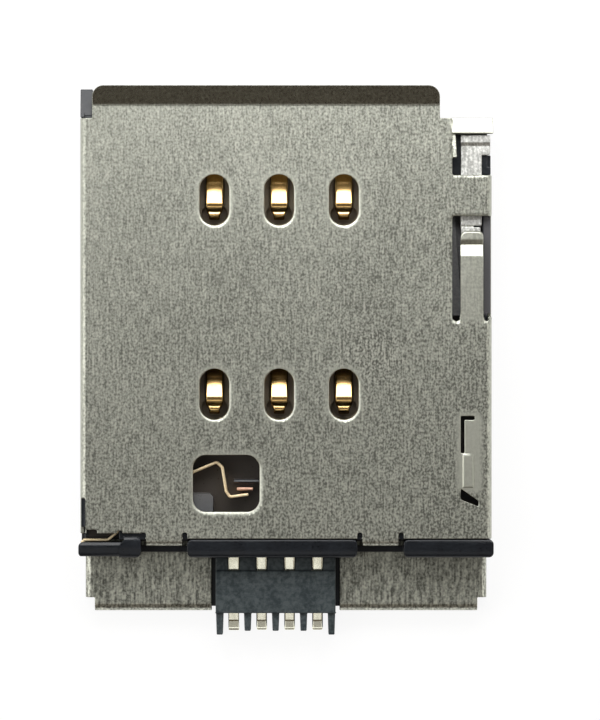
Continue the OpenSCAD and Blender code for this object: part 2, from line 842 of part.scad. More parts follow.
module deck_solid() {
    wall_foot = y_inner - lap;
    box([-deck_half, wall_foot, base_h], [deck_half, y_corner, z_floor]);
    // Left wall, with the corner post in front of it
    box([-deck_half, wall_foot, base_h], [lane_left, y_corner, z_roof]);
    box([-deck_half, y_corner - lap, base_h], [lane_left, post_front, z_slider_top]);
    box([-post_side, y_corner + edge_gap, base_h], [lane_left, post_front, z_slider_top]);
    // Right wall and rear wall
    box([bay_right, wall_foot, base_h], [deck_half, y_corner, z_cam]);
    box([bay_right, wall_foot, base_h], [deck_half, y_low_wall, z_roof]);
    box([-deck_half, y_rear - edge_gap, base_h], [deck_half, y_inner, z_roof]);
    // Rail beside the card, and the block that stops the slider and holds the link's pivot
    box([lane_right, wall_foot, base_h], [lane_right + rail_w, y_corner, z_floor + rail_h]);
    box([cam_left, y_slider_front + run_gap, base_h], [bay_right + lap, y_corner, z_cam]);
    // Post behind the switch leaf
    box([window_left - 0.3, wall_foot, base_h], [window_left + 0.8, leaf_tip.y, z_leaf + leaf_h]);
    for (side = [-1, 1], y = catch_y)
        box([side * deck_half - catch_out, y - catch_l / 2, catch_z],
            [side * deck_half + catch_out, y + catch_l / 2, catch_z + catch_h]);
    for (side = [-1, 1], y = peg_y)
        translate([side * peg_x, y, base_h - peg_depth]) cylinder(r = peg_r, h = peg_depth + lap);
    translate([spring_x, wall_foot, spring_z]) rotate([-90, 0, 0])
        cylinder(r = spring_peg_r, h = spring_peg_l + lap);
}

// Cuts for the contact springs and their leads
module contact_seats() {
    half = contact_w / 2 + fit_gap;
    low = z_strip - strip_t / 2 - fit_gap;
    for (x = columns, y = y_crown)
        box([x - contact_w / 2 - pocket_side, y - nose_l - pocket_end, pocket_floor],
            [x + contact_w / 2 + pocket_side, y + beam_l + lap, z_floor + over]);
    for (x = columns)
        box([x - half, y_crown[0] + beam_l, low],
            [x + half, y_corner + over, z_strip + strip_t / 2 + fit_gap]);
    for (i = [0:2]) {
        rear_lead(i, fit_gap);
        box([columns[i] - half, y_crown[1] + beam_l, low],
            [columns[i] + half, y_crown[1] + beam_l + root_l + tail_w / 2 + fit_gap, z_floor + over]);
    }
}

// Cuts for the switch: groove of the leaf, room for its arm, and the fixed contact's seat
module switch_seats() {
    translate([0, 0, z_leaf - fit_gap]) linear_extrude(z_top) {
        intersection() {
            leaf_plan(fit_gap);
            translate([-bar_w, y_bar]) square([2 * bar_w, y_inner - y_bar + lap]);
        }
        strip([leaf_path[2], leaf_path[3], leaf_path[4]], [0.6], 4 * leaf_t);
    }
    leaf_leg(fit_gap);
    terminal_lead(fit_gap);
    terminal_post(fit_gap);
    box([leaf_crest.x - 0.05, y_inner, z_floor - switch_sink],
        [window_right + 0.2, terminal_y + leaf_t + switch_gap, z_floor + over]);
}

module deck_housing() color(black_resin) difference() {
    union() {
        deck_solid();
        rear_bar();
    }
    contact_seats();
    switch_seats();
    translate([link_x, y_pivot, z_floor]) cylinder(r = pivot_r + run_gap / 2, h = z_top);
    top_rounding();
    mouth_cut();
}

// Rounding of the deck's top edges under the folds of the cover
module top_rounding() {
    for (side = [-1, 1])
        translate([side * (deck_half - inner_r), y_corner + edge_gap, z_roof - inner_r])
            rotate([90, 0, 0]) linear_extrude(y_corner + edge_gap - y_inner + wall_rear) difference() {
                translate([-over / 2 + side * over / 2, 0]) square(over);
                circle(inner_r);
            }
}

// Bevel of the floor at the card mouth
module mouth_cut() {
    translate([lane_left, 0, 0]) rotate([90, 0, 90]) linear_extrude(lane_right - lane_left)
        polygon([
            [y_corner - 2 * mouth_bevel, z_floor + lap / 2], [y_corner + over, z_floor + lap / 2],
            [y_corner + over, z_floor - mouth_bevel], [y_corner, z_floor - mouth_bevel],
            [y_corner - 2 * mouth_bevel, z_floor]
        ]);
}

// Ejector

arm_bevel = 0.35;
neck_shift = 0.06;
link_corner_r = 0.08;

// Plan of the heart-shaped track: two branches from the straight end, joined round the lock notch
module cam_track() {
    start = [cam_x, y_pin];
    ends = [for (side = [-1, 1]) [cam_x + side * cam_swing, y_pin + travel]];
    for (end = ends) lane(start, end, track_w);
    lane(ends[0], ends[1], track_w);
    lane([cam_x, y_pin + travel], [cam_x, y_pin + lock_travel], track_w);
}

module ejector_slider() color(slider_resin) difference() {
    union() {
        box([slider_left, y_slider_rear, z_slider], [cam_left + lap, y_slider_front, z_slider_top]);
        box([cam_left, y_pin - link_neck, z_slider], [slider_right, y_slider_front, z_cam]);
        box([slider_left - arm_reach, y_pusher - arm_d, z_arm], [slider_left + lap, y_pusher, z_slider_top]);
    }
    // Channel for the spring, open at the rear, with a peg at its seat
    difference() {
        box([spring_x - spring_d / 2 - run_gap, y_slider_rear - over, z_slider - over],
            [spring_x + spring_d / 2 + run_gap, y_seat, z_roof]);
        translate([spring_x, y_seat + lap, spring_z]) rotate([90, 0, 0])
            cylinder(r = spring_peg_r, h = spring_peg_l + lap);
    }
    translate([0, 0, z_track]) linear_extrude(z_roof) cam_track();
    // Bevel of the arm for the card's cut corner
    translate([slider_left - arm_reach, y_pusher, 0]) linear_extrude(z_roof)
        polygon([[-over, -arm_bevel - over], [arm_bevel + over, over], [-over, over]]);
}

module cam_link() color(steel_dark) {
    left = link_x - link_w / 2;
    neck_x = cam_x + neck_shift;
    translate([0, 0, z_link]) linear_extrude(link_t) {
        round_rect([left, y_link_step], [left + link_w, y_link_front], link_corner_r);
        round_rect([left, y_link_front - head_l], [cover_half - head_inset, y_link_front], link_corner_r);
        round_rect([neck_x - link_neck / 2, y_pin - link_neck / 2],
                   [neck_x + link_neck / 2, y_link_step + link_neck], 2 * link_corner_r);
    }
    translate([cam_x, y_pin, z_track + run_gap]) cylinder(r = pin_r, h = z_link - z_track);
    translate([link_x, y_pivot, z_floor + run_gap]) cylinder(r = pivot_r, h = z_link - z_floor);
}

// Eject spring

spring_steps = 14;
wire_sides = 6;
rings = (spring_turns + 2) * spring_steps;
end_pitch = 1.1 * wire_d;
coil_start = y_inner + fit_gap + wire_d / 2;
coil_free = y_seat - fit_gap - wire_d / 2 - coil_start - 2 * end_pitch;

// Place along the coil after some turns: closed turns at both ends, even pitch between
function coil_y(turn) =
    coil_start + end_pitch * (min(turn, 1) + max(turn - 1 - spring_turns, 0))
    + coil_free * min(max(turn - 1, 0), spring_turns) / spring_turns;

module eject_spring() color(spring_steel) {
    r = (spring_d - wire_d) / 2;
    points = [
        for (i = [0:rings], k = [0:wire_sides - 1])
            let (
                turn = i / spring_steps,
                reach = r + wire_d / 2 * cos(360 * k / wire_sides)
            )
            [spring_x + reach * cos(360 * turn),
             coil_y(turn) + wire_d / 2 * sin(360 * k / wire_sides),
             spring_z + reach * sin(360 * turn)]
    ];
    sides = [
        for (i = [0:rings - 1], k = [0:wire_sides - 1])
            let (a = i * wire_sides + k, b = i * wire_sides + (k + 1) % wire_sides)
            [a, a + wire_sides, b + wire_sides, b]
    ];
    ends = [
        [for (k = [0:wire_sides - 1]) k],
        [for (k = [wire_sides - 1:-1:0]) rings * wire_sides + k]
    ];
    polyhedron(points, concat(sides, ends));
}

// Base

y_comb_front = y_bar + 0.12;
flange_lift = 0.05;

module peg_holes() {
    for (side = [-1, 1], y = peg_y) translate([side * peg_x, y]) children();
}

module base_shell() color(steel_dark) difference() {
    mid = base_h - sheet / 2;
    union() {
        folded_sheet(2 * base_half, y_base + flange_inset, y_base_front, 0, base_h);
        side_strip(
            [[y_base + flange_inset + lap, mid], [y_base + sheet / 2, mid],
             [y_base + sheet / 2, flange_lift]],
            [fold_r - sheet / 2], sheet, -base_half + flange_inset, base_half - flange_inset
        );
    }
    box([comb_left - comb_gap, y_base - over, -over],
        [comb_right + comb_gap, y_comb_front + comb_gap, base_h + over]);
    peg_holes() cylinder(r = peg_r + 2 * fit_gap, h = 2 * base_h);
}

module base_frame() color(black_resin) difference() {
    rear = y_base + sheet + fit_gap;
    top = base_h - sheet;
    y_bays = y_base_front - rim_w;
    bay_l = (y_bays - y_comb_front - rim_w - (bays - 1) * rib_w) / bays;
    eased_block([-frame_half, rear, 0], [frame_half, y_base_front, top], inner_r);
    for (i = [0:bays - 1])
        translate([0, y_bays - i * (bay_l + rib_w), 0])
            box([-frame_half + rim_w, -bay_l, -over], [frame_half - rim_w, 0, top + over]);
    box([comb_left - fit_gap, rear - over, -over],
        [comb_right + fit_gap, y_comb_front + fit_gap, top + over]);
    peg_holes() translate([0, 0, base_h - peg_depth - fit_gap]) cylinder(r = peg_r + fit_gap, h = base_h);
}

// Tail comb

module comb_tooth(x, y_tip) {
    y_root = y_base - comb_over + lap;
    linear_extrude(z_strip + strip_t)
        polygon([
            [x - tooth_root / 2, y_root], [x - tooth_end / 2, y_tip],
            [x + tooth_end / 2, y_tip], [x + tooth_root / 2, y_root]
        ]);
}

module tail_comb() color(grey_resin) difference() {
    z_shelf = z_strip + strip_t / 2 + edge_gap;
    y_shelf = y_bar - shelf_d;
    union() {
        box([comb_left, y_shelf, 0], [comb_right, y_comb_front, base_h - sheet]);
        box([comb_left, y_shelf - lap, 0], [comb_right, y_bar - fit_gap, z_shelf]);
        box([comb_left, y_base - comb_over, 0], [comb_right, y_shelf, base_h + comb_rise]);
        for (i = [0:4]) comb_tooth(teeth[i], y_end + (i == 0 || i == 4 ? 0 : rib_short));
    }
    // Slots for the tails, open on top along the shelf
    for (x = tails) {
        half = tail_w / 2 + fit_gap;
        low = z_strip - strip_t / 2 - fit_gap;
        box([x - half, y_end - over, low], [x + half, y_bar + over, z_strip + strip_t / 2 + fit_gap]);
        box([x - half, y_shelf, low], [x + half, y_bar + over, z_top]);
    }
}

cover_shell();
deck_housing();
base_shell();
base_frame();
tail_comb();
for (i = [0:2]) contact_front(i);
for (i = [0:2]) contact_rear(i);
switch_spring();
switch_terminal();
ejector_slider();
cam_link();
eject_spring();
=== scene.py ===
"""Dress a push-push card socket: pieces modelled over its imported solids, finishes, light and camera.

Pieces are modelled in millimetres, with the board at z = 0 and the card mouth at +Y, and are
delivered in metres.
"""
import logging
import math
from collections.abc import Callable, Iterable, Sequence
from dataclasses import dataclass, field
from enum import Enum

import bpy
from mathutils import Matrix, Vector


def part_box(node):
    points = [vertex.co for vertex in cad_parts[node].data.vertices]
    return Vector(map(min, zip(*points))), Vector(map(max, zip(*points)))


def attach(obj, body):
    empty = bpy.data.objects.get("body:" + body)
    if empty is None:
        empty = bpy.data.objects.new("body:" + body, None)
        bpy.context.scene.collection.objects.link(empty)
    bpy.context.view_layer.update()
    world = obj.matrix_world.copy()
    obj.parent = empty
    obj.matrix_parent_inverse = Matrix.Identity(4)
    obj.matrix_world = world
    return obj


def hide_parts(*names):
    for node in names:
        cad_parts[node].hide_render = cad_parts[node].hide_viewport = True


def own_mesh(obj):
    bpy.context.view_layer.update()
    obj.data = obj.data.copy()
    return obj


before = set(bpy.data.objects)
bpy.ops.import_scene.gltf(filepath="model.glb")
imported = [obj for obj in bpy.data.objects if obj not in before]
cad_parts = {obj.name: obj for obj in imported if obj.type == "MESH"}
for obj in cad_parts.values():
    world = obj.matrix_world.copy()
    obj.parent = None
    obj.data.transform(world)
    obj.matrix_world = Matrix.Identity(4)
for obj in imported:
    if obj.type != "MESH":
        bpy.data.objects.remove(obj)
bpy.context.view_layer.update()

LOG = logging.getLogger("card_socket")

MM = 0.001
# Overshoot of cutting tools, overlap of welded shapes, and the distance at which points are the same
OVER = 0.4
LAP = 0.1
TINY = 0.002
# Share of a slot's width that rounds its ends, and of an edge's length that counts as along an axis
ROUND_END = 0.499
ALONG = 0.9
# Degrees up to which faces count as flat, and up to which plates and wire are shaded smooth
FLAT = 0.2
SMOOTH = 40.0
WIRE_SMOOTH = 50.0
# Middle of a noise's range, and the colour sockets of a Mix node by number
MEAN = 0.5
MIX_FIRST = 6
MIX_SECOND = 7
MIX_RESULT = 2

Object = bpy.types.Object
Material = bpy.types.Material
Place = Sequence[float]
Colour = tuple[float, float, float]
Test = Callable[[Vector, Vector], bool]


class Axis(Enum):
    """Directions of the part."""

    X = 0
    Y = 1
    Z = 2


class Element(Enum):
    """What a pick selects, in edit mode's own words."""

    POINT = "VERT"
    EDGE = "EDGE"
    FACE = "FACE"


class Joining(Enum):
    """Ways of combining two closed shapes."""

    CUT = "DIFFERENCE"
    WELD = "UNION"
    TRIM = "INTERSECT"


class Side(Enum):
    """Sides of the socket, in degrees from +X."""

    RIGHT = 0.0
    FRONT = 90.0
    LEFT = 180.0
    REAR = 270.0


class Body(Enum):
    """Moving bodies of the socket."""

    SOCKET = "socket"
    SLIDER = "slider"
    LINK = "link"


# Bench tools


def hold(obj: Object) -> None:
    """Select one object alone and make it active."""
    bpy.ops.object.select_all(action="DESELECT")
    obj.select_set(True)
    bpy.context.view_layer.objects.active = obj


def pick(obj: Object, element: Element, wanted: Test) -> None:
    """Enter edit mode with only the wanted elements selected.

    Args:
        obj: piece to work on.
        element: kind of element to select.
        wanted: test of an element's middle and of its direction, an edge's span or else a normal.
    """
    hold(obj)
    bpy.ops.object.mode_set(mode="EDIT")
    bpy.ops.mesh.select_mode(type=element.value)
    bpy.ops.mesh.select_all(action="DESELECT")
    bpy.ops.object.mode_set(mode="OBJECT")
    mesh = obj.data
    if element is Element.POINT:
        for point in mesh.vertices:
            point.select = wanted(point.co, point.normal)
    elif element is Element.EDGE:
        for edge in mesh.edges:
            start, end = (mesh.vertices[i].co for i in edge.vertices)
            edge.select = wanted((start + end) / 2, end - start)
    else:
        for face in mesh.polygons:
            face.select = wanted(face.center, face.normal)
    bpy.ops.object.mode_set(mode="EDIT")


def leave_edit() -> None:
    """Go back to object mode."""
    bpy.ops.object.mode_set(mode="OBJECT")


def bake() -> None:
    """Put the selected piece's place, turn and size into its mesh."""
    bpy.ops.object.transform_apply(location=True, rotation=True, scale=True)


def modify(obj: Object, kind: str, **settings: object) -> None:
    """Add a modifier with its settings and apply it.

    Args:
        obj: piece to work on.
        kind: the modifier's type.
        settings: values of its properties.
    """
    modifier = obj.modifiers.new(kind.lower(), kind)
    for name, value in settings.items():
        setattr(modifier, name, value)
    hold(obj)
    bpy.ops.object.modifier_apply(modifier=modifier.name)


def along(axis: Axis, near: Callable[[Vector], bool] = lambda middle: True) -> Test:
    """Make a test for edges that run along an axis.

    Args:
        axis: the edges' direction.
        near: further test of an edge's middle.

    Returns:
        A test for pick.
    """
    def wanted(middle: Vector, span: Vector) -> bool:
        """Tell whether an edge runs along the axis and passes the further test."""
        return abs(span[axis.value]) > ALONG * span.length and near(middle)
    return wanted


def block(name: str, low: Place, high: Place) -> Object:
    """Add a cube between two corners.

    Args:
        name: the new object's name.
        low: its lowest corner.
        high: its highest corner.

    Returns:
        The new object, with its place in its mesh.
    """
    middle = [(a + b) / 2 for a, b in zip(low, high)]
    size = [b - a for a, b in zip(low, high)]
    bpy.ops.object.select_all(action="DESELECT")
    bpy.ops.mesh.primitive_cube_add(size=1, location=middle, scale=size)
    bake()
    obj = bpy.context.object
    obj.name = name
    return obj


def pin(name: str, foot: Place, radius: float, length: float, sides: int = 32) -> Object:
    """Add a round upright pin that stands on a point.

    Args:
        name: the new object's name.
        foot: middle of its lower end.
        radius: its radius.
        length: its length.
        sides: number of its flat sides.

    Returns:
        The new object.
    """
    middle = (foot[0], foot[1], foot[2] + length / 2)
    bpy.ops.object.select_all(action="DESELECT")
    bpy.ops.mesh.primitive_cylinder_add(vertices=sides, radius=radius, depth=length, location=middle)
    bake()
    obj = bpy.context.object
    obj.name = name
    return obj


def move_points(obj: Object, wanted: Callable[[Vector], bool], by: Place) -> Object:
    """Move some points of a piece.

    Args:
        obj: piece to work on.
        wanted: test of a point's place.
        by: distance along each axis.

    Returns:
        The same piece.
    """
    pick(obj, Element.POINT, lambda place, normal: wanted(place))
    bpy.ops.transform.translate(value=by)
    leave_edit()
    return obj


def round_edges(obj: Object, wanted: Test, radius: float, steps: int = 6) -> Object:
    """Round some edges of a piece.

    Args:
        obj: piece to work on.
        wanted: test for the edges.
        radius: radius of the rounding.
        steps: facets of the rounding.

    Returns:
        The same piece.
    """
    pick(obj, Element.EDGE, wanted)
    bpy.ops.mesh.bevel(offset=radius, segments=steps, profile=0.5, affect="EDGES", clamp_overlap=False)
    leave_edit()
    return obj


def lean(obj: Object, front: float, top: float, facet: tuple[float, float]) -> Object:
    """Slope the front of a block's top.

    Args:
        obj: piece to work on.
        front: place of its front face.
        top: level of its top.
        facet: depth of the slope and its fall.

    Returns:
        The same piece.
    """
    deep, fall = facet
    edge = along(Axis.X, lambda middle: middle.z > top - TINY and middle.y > front - TINY)
    round_edges(obj, edge, deep, 1)
    return move_points(obj, lambda place: top - deep - TINY < place.z < top - TINY, (0, 0, deep - fall))


def sink(obj: Object, front: float, top: float, by: float) -> Object:
    """Let the whole top of a block fall towards its front by a distance."""
    return move_points(obj, lambda place: place.y > front - TINY and place.z > top - TINY, (0, 0, -by))


def plate(name: str, low: Place, high: Place, radius: float, steps: int = 8) -> Object:
    """Add a block whose upright edges are rounded, or a slot with round ends.

    Args:
        name: the new object's name.
        low: its lowest corner.
        high: its highest corner.
        radius: radius of the upright edges.
        steps: facets of each rounding.

    Returns:
        The new object.
    """
    return round_edges(block(name, low, high), along(Axis.Z), radius, steps)


def combine(obj: Object, tools: Iterable[Object], way: Joining) -> Object:
    """Cut tools out of a piece, weld them to it or trim it to them, and use them up.

    Args:
        obj: piece to work on.
        tools: closed shapes, which are removed.
        way: cut, weld or trim.

    Returns:
        The same piece.
    """
    for tool in tools:
        modify(obj, "BOOLEAN", operation=way.value, solver="EXACT", object=tool)
        bpy.data.meshes.remove(tool.data)
    return obj


def settle(obj: Object) -> None:
    """Merge double points and dissolve the edges that booleans leave in flat faces."""
    hold(obj)
    bpy.ops.object.mode_set(mode="EDIT")
    bpy.ops.mesh.select_all(action="SELECT")
    bpy.ops.mesh.remove_doubles(threshold=TINY)
    bpy.ops.mesh.dissolve_limited(angle_limit=math.radians(FLAT))
    leave_edit()


def soften(obj: Object, width: float, steps: int = 3, sharp: float = 28.0) -> Object:
    """Round all sharp edges a little and shade the piece smooth.

    Args:
        obj: piece to work on.
        width: radius of the edges.
        steps: facets of each edge.
        sharp: angle in degrees above which an edge counts as sharp.

    Returns:
        The same piece.
    """
    settle(obj)
    modify(obj, "TRIANGULATE", quad_method="BEAUTY", ngon_method="BEAUTY", min_vertices=5)
    modify(
        obj, "BEVEL", width=width, segments=steps, limit_method="ANGLE",
        angle_limit=math.radians(sharp), use_clamp_overlap=False, loop_slide=False,
    )
    hold(obj)
    bpy.ops.object.shade_smooth_by_angle(angle=math.radians(SMOOTH))
    modify(obj, "WEIGHTED_NORMAL", keep_sharp=True, weight=100)
    return obj


def bent(points: Sequence[Place], radii: Sequence[float], steps: int = 6) -> list[Vector]:
    """Round the inner corners of a line with arcs.

    Args:
        points: corners of the line.
        radii: radius at each inner corner.
        steps: straight pieces of each arc.

    Returns:
        Points of the rounded line.
    """
    corners = [Vector(point) for point in points]
    line = [corners[0]]
    for before, corner, after, radius in zip(corners, corners[1:], corners[2:], radii):
        back = (before - corner).normalized()
        onward = (after - corner).normalized()
        half = back.angle(onward) / 2
        centre = corner + (back + onward).normalized() * radius / math.sin(half)
        start = corner + back * radius / math.tan(half) - centre
        end = corner + onward * radius / math.tan(half) - centre
        line += [centre + start.slerp(end, i / steps) * radius for i in range(steps + 1)]
    return line + [corners[-1]]


def ribbon(
    name: str, path: Sequence[Vector], across: Place, thickness: float, widths: Sequence[float] = ()
) -> Object:
    """Extrude a strip along a line and give it its thickness.

    Args:
        name: the new object's name.
        path: points of the strip's middle line.
        across: vector over its width, square to the line.
        thickness: thickness of the strip.
        widths: share of the width at each point of the line, where it isn't 1 all along.

    Returns:
        The new object.
    """
    wide = Vector(across)
    first = path[1] - path[0]
    turn = Matrix((wide.normalized(), first.normalized(), wide.cross(first).normalized())).transposed()
    bpy.ops.object.select_all(action="DESELECT")
    bpy.ops.mesh.primitive_plane_add(size=1, location=(path[0] + path[1]) / 2, rotation=turn.to_euler())
    obj = bpy.context.object
    obj.name = name
    obj.scale = (wide.length, first.length, 1)
    bake()
    pick(obj, Element.EDGE, lambda middle, span: (middle - path[1]).length < TINY)
    shares = list(widths) or [1.0] * len(path)
    for i in range(2, len(path)):
        bpy.ops.mesh.extrude_region_move(TRANSFORM_OT_translate={"value": path[i] - path[i - 1]})
        if shares[i] != shares[i - 1]:
            ratio = shares[i] / shares[i - 1]
            stretch = [1 + (ratio - 1) * abs(part) for part in wide.normalized()]
            bpy.ops.transform.resize(value=stretch, center_override=path[i])
    leave_edit()
    modify(obj, "SOLIDIFY", thickness=thickness, offset=0, use_even_offset=True)
    return obj


def side_ribbon(
    name: str, points: Sequence[tuple[float, float]], radii: Sequence[float], left: float, right: float,
    thickness: float, steps: int = 6,
) -> Object:
    """Bend a strip in the plane of Y and Z, between two places on X.

    Args:
        name: the new object's name.
        points: corners of its middle line, as y and z.
        radii: radius at each inner corner.
        left: place of its left side.
        right: place of its right side.
        thickness: thickness of the strip.
        steps: straight pieces of each bend.

    Returns:
        The new object.
    """
    middle = (left + right) / 2
    path = bent([(middle, y, z) for y, z in points], radii, steps)
    return ribbon(name, path, (right - left, 0, 0), thickness)


def channel(name: str, low: Place, high: Place, sheet: float, fold_r: float) -> Object:
    """Fold a sheet into a top and two side walls along Y.

    Args:
        name: the new object's name.
        low: lowest outer corner.
        high: highest outer corner.
        sheet: thickness of the sheet.
        fold_r: outside radius of the folds.

    Returns:
        The new object.
    """
    shell = block(name, low, high)
    round_edges(shell, along(Axis.Y, lambda middle: middle.z > high[2] - TINY), fold_r)
    top = high[2] - sheet
    inner_low = (low[0] + sheet, low[1] - OVER, low[2] - OVER)
    hollow = block("hollow", inner_low, (high[0] - sheet, high[1] + OVER, top))
    round_edges(hollow, along(Axis.Y, lambda middle: middle.z > top - TINY), fold_r - sheet)
    return combine(shell, [hollow], Joining.CUT)


def corners(node: str) -> tuple[Vector, Vector]:
    """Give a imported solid's lowest and highest corners in millimetres."""
    low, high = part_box(node)
    return Vector(low) / MM, Vector(high) / MM


def deliver(obj: Object, body: Body, finish: Material, nodes: Iterable[str]) -> None:
    """Bring a finished piece to metres, dress it and put it on its body.

    Args:
        obj: the finished piece.
        body: body that it moves with.
        finish: its material.
        nodes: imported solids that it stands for.
    """
    obj.scale = (MM, MM, MM)
    hold(obj)
    bake()
    obj.data.materials.clear()
    obj.data.materials.append(finish)
    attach(obj, body.value)
    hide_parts(*nodes)
    LOG.info("%s: %d faces on %s", obj.name, len(obj.data.polygons), body.value)


# Finishes


class Wire:
    """A shader socket that takes part in Python expressions."""

    def __init__(self, graph: "Graph", socket: bpy.types.NodeSocket) -> None:
        """Wrap an output socket of a graph."""
        self.graph = graph
        self.socket = socket

    def __add__(self, other: "Wire | float") -> "Wire":
        """Add a value."""
        return self.graph.math("ADD", self, other)

    def __sub__(self, other: "Wire | float") -> "Wire":
        """Take a value away."""
        return self.graph.math("SUBTRACT", self, other)

    def __rsub__(self, other: float) -> "Wire":
        """Take this from a number."""
        return self.graph.math("SUBTRACT", other, self)

    def __mul__(self, other: "Wire | float") -> "Wire":
        """Multiply by a value."""
        return self.graph.math("MULTIPLY", self, other)

    def __pow__(self, other: float) -> "Wire":
        """Raise to a power."""
        return self.graph.math("POWER", self, other)

    def at_least(self, other: "Wire | float") -> "Wire":
        """Give the larger of two values."""
        return self.graph.math("MAXIMUM", self, other)

    def at_most(self, other: "Wire | float") -> "Wire":
        """Give the smaller of two values."""
        return self.graph.math("MINIMUM", self, other)

    def size(self) -> "Wire":
        """Give the value without its sign."""
        return self.graph.math("ABSOLUTE", self, 0.0)

    def share(self) -> "Wire":
        """Keep the value between 0 and 1."""
        return self.at_least(0.0).at_most(1.0)

    __radd__ = __add__
    __rmul__ = __mul__


class Graph:
    """The node tree of one material or world."""

    def __init__(self, tree: bpy.types.NodeTree) -> None:
        """Start with an empty tree."""
        self.tree = tree
        tree.nodes.clear()

    def node(self, kind: str, settings: dict | None = None, sockets: dict | None = None) -> bpy.types.Node:
        """Add a node.

        Args:
            kind: the node's type.
            settings: its properties, set first.
            sockets: values or wires of its inputs, by name or number.

        Returns:
            The new node.
        """
        made = self.tree.nodes.new(kind)
        for name, value in (settings or {}).items():
            setattr(made, name, value)
        for key, value in (sockets or {}).items():
            if isinstance(value, Wire):
                self.tree.links.new(value.socket, made.inputs[key])
            else:
                made.inputs[key].default_value = value
        return made

    def wire(self, made: bpy.types.Node, output: str | int = 0) -> Wire:
        """Wrap an output of a node."""
        return Wire(self, made.outputs[output])

    def math(self, operation: str, first: Wire | float, second: Wire | float) -> Wire:
        """Add a Math node and give its result."""
        return self.wire(self.node("ShaderNodeMath", {"operation": operation}, {0: first, 1: second}))

    def mix(self, share: Wire, first: Colour | Wire, second: Colour | Wire) -> Wire:
        """Blend two colours.

        Args:
            share: share of the second colour.
            first: colour at a share of 0.
            second: colour at a share of 1.

        Returns:
            The blended colour.
        """
        ends = [end if isinstance(end, Wire) else (*end, 1.0) for end in (first, second)]
        sockets = {"Factor": share, MIX_FIRST: ends[0], MIX_SECOND: ends[1]}
        made = self.node("ShaderNodeMix", {"data_type": "RGBA", "clamp_factor": True}, sockets)
        return self.wire(made, MIX_RESULT)

    def grain(self, per_mm: Place, detail: float = 2.0, rough: float = 0.5) -> Wire:
        """Give noise with so many spots to the millimetre along each axis.

        Args:
            per_mm: spots along X, Y and Z.
            detail: octaves of finer noise.
            rough: strength of the finer noise.

        Returns:
            Noise about 0.5.
        """
        place = self.wire(self.node("ShaderNodeTexCoord"), "Object")
        scale = [count / MM for count in per_mm]
        mapped = self.node("ShaderNodeMapping", None, {"Vector": place, "Scale": scale})
        made = self.node(
            "ShaderNodeTexNoise", {"noise_dimensions": "3D"},
            {"Vector": self.wire(mapped), "Scale": 1.0, "Detail": detail, "Roughness": rough},
        )
        return self.wire(made, 0)

    def place(self, axis: Axis) -> Wire:
        """Give an Object coordinate in millimetres."""
        spot = self.wire(self.node("ShaderNodeTexCoord"), "Object")
        parts = self.node("ShaderNodeSeparateXYZ", None, {"Vector": spot})
        return self.wire(parts, axis.value) * (1 / MM)

    def rim(self, opening: "Opening", reach: float) -> Wire:
        """Give 1 within an opening, falling to 0 at a distance from its edge.

        Args:
            opening: an opening or another place, in plan.
            reach: the distance, in millimetres.

        Returns:
            The share.
        """
        past = []
        for axis in (Axis.X, Axis.Y):
            start, end = opening.low[axis.value], opening.high[axis.value]
            off = (self.place(axis) - (start + end) / 2).size()
            past.append((off + (opening.radius - (end - start) / 2)).at_least(0.0))
        distance = (past[0] ** 2.0 + past[1] ** 2.0) ** 0.5 - opening.radius
        return (1.0 - distance * (1 / reach)).share()

    def bump(self, height: Wire, depth_mm: float) -> Wire:
        """Turn a height from 0 to 1 into a normal, with so much depth at 1."""
        sockets = {"Strength": 1.0, "Distance": depth_mm * MM, "Height": height}
        return self.wire(self.node("ShaderNodeBump", None, sockets))

    def close(self, kind: str, sockets: dict) -> None:
        """Add the shader node and the material's output."""
        shader = self.node(kind, None, sockets)
        self.node("ShaderNodeOutputMaterial", None, {"Surface": self.wire(shader)})


def new_graph(name: str) -> tuple[Material, Graph]:
    """Start a material and give it with its empty graph."""
    material = bpy.data.materials.new(name)
    material.use_nodes = True
    return material, Graph(material.node_tree)


@dataclass(frozen=True)
class Opening:
    """An opening or another place in plan: two corners and the radius of its corners."""

    low: tuple[float, float]
    high: tuple[float, float]
    radius: float


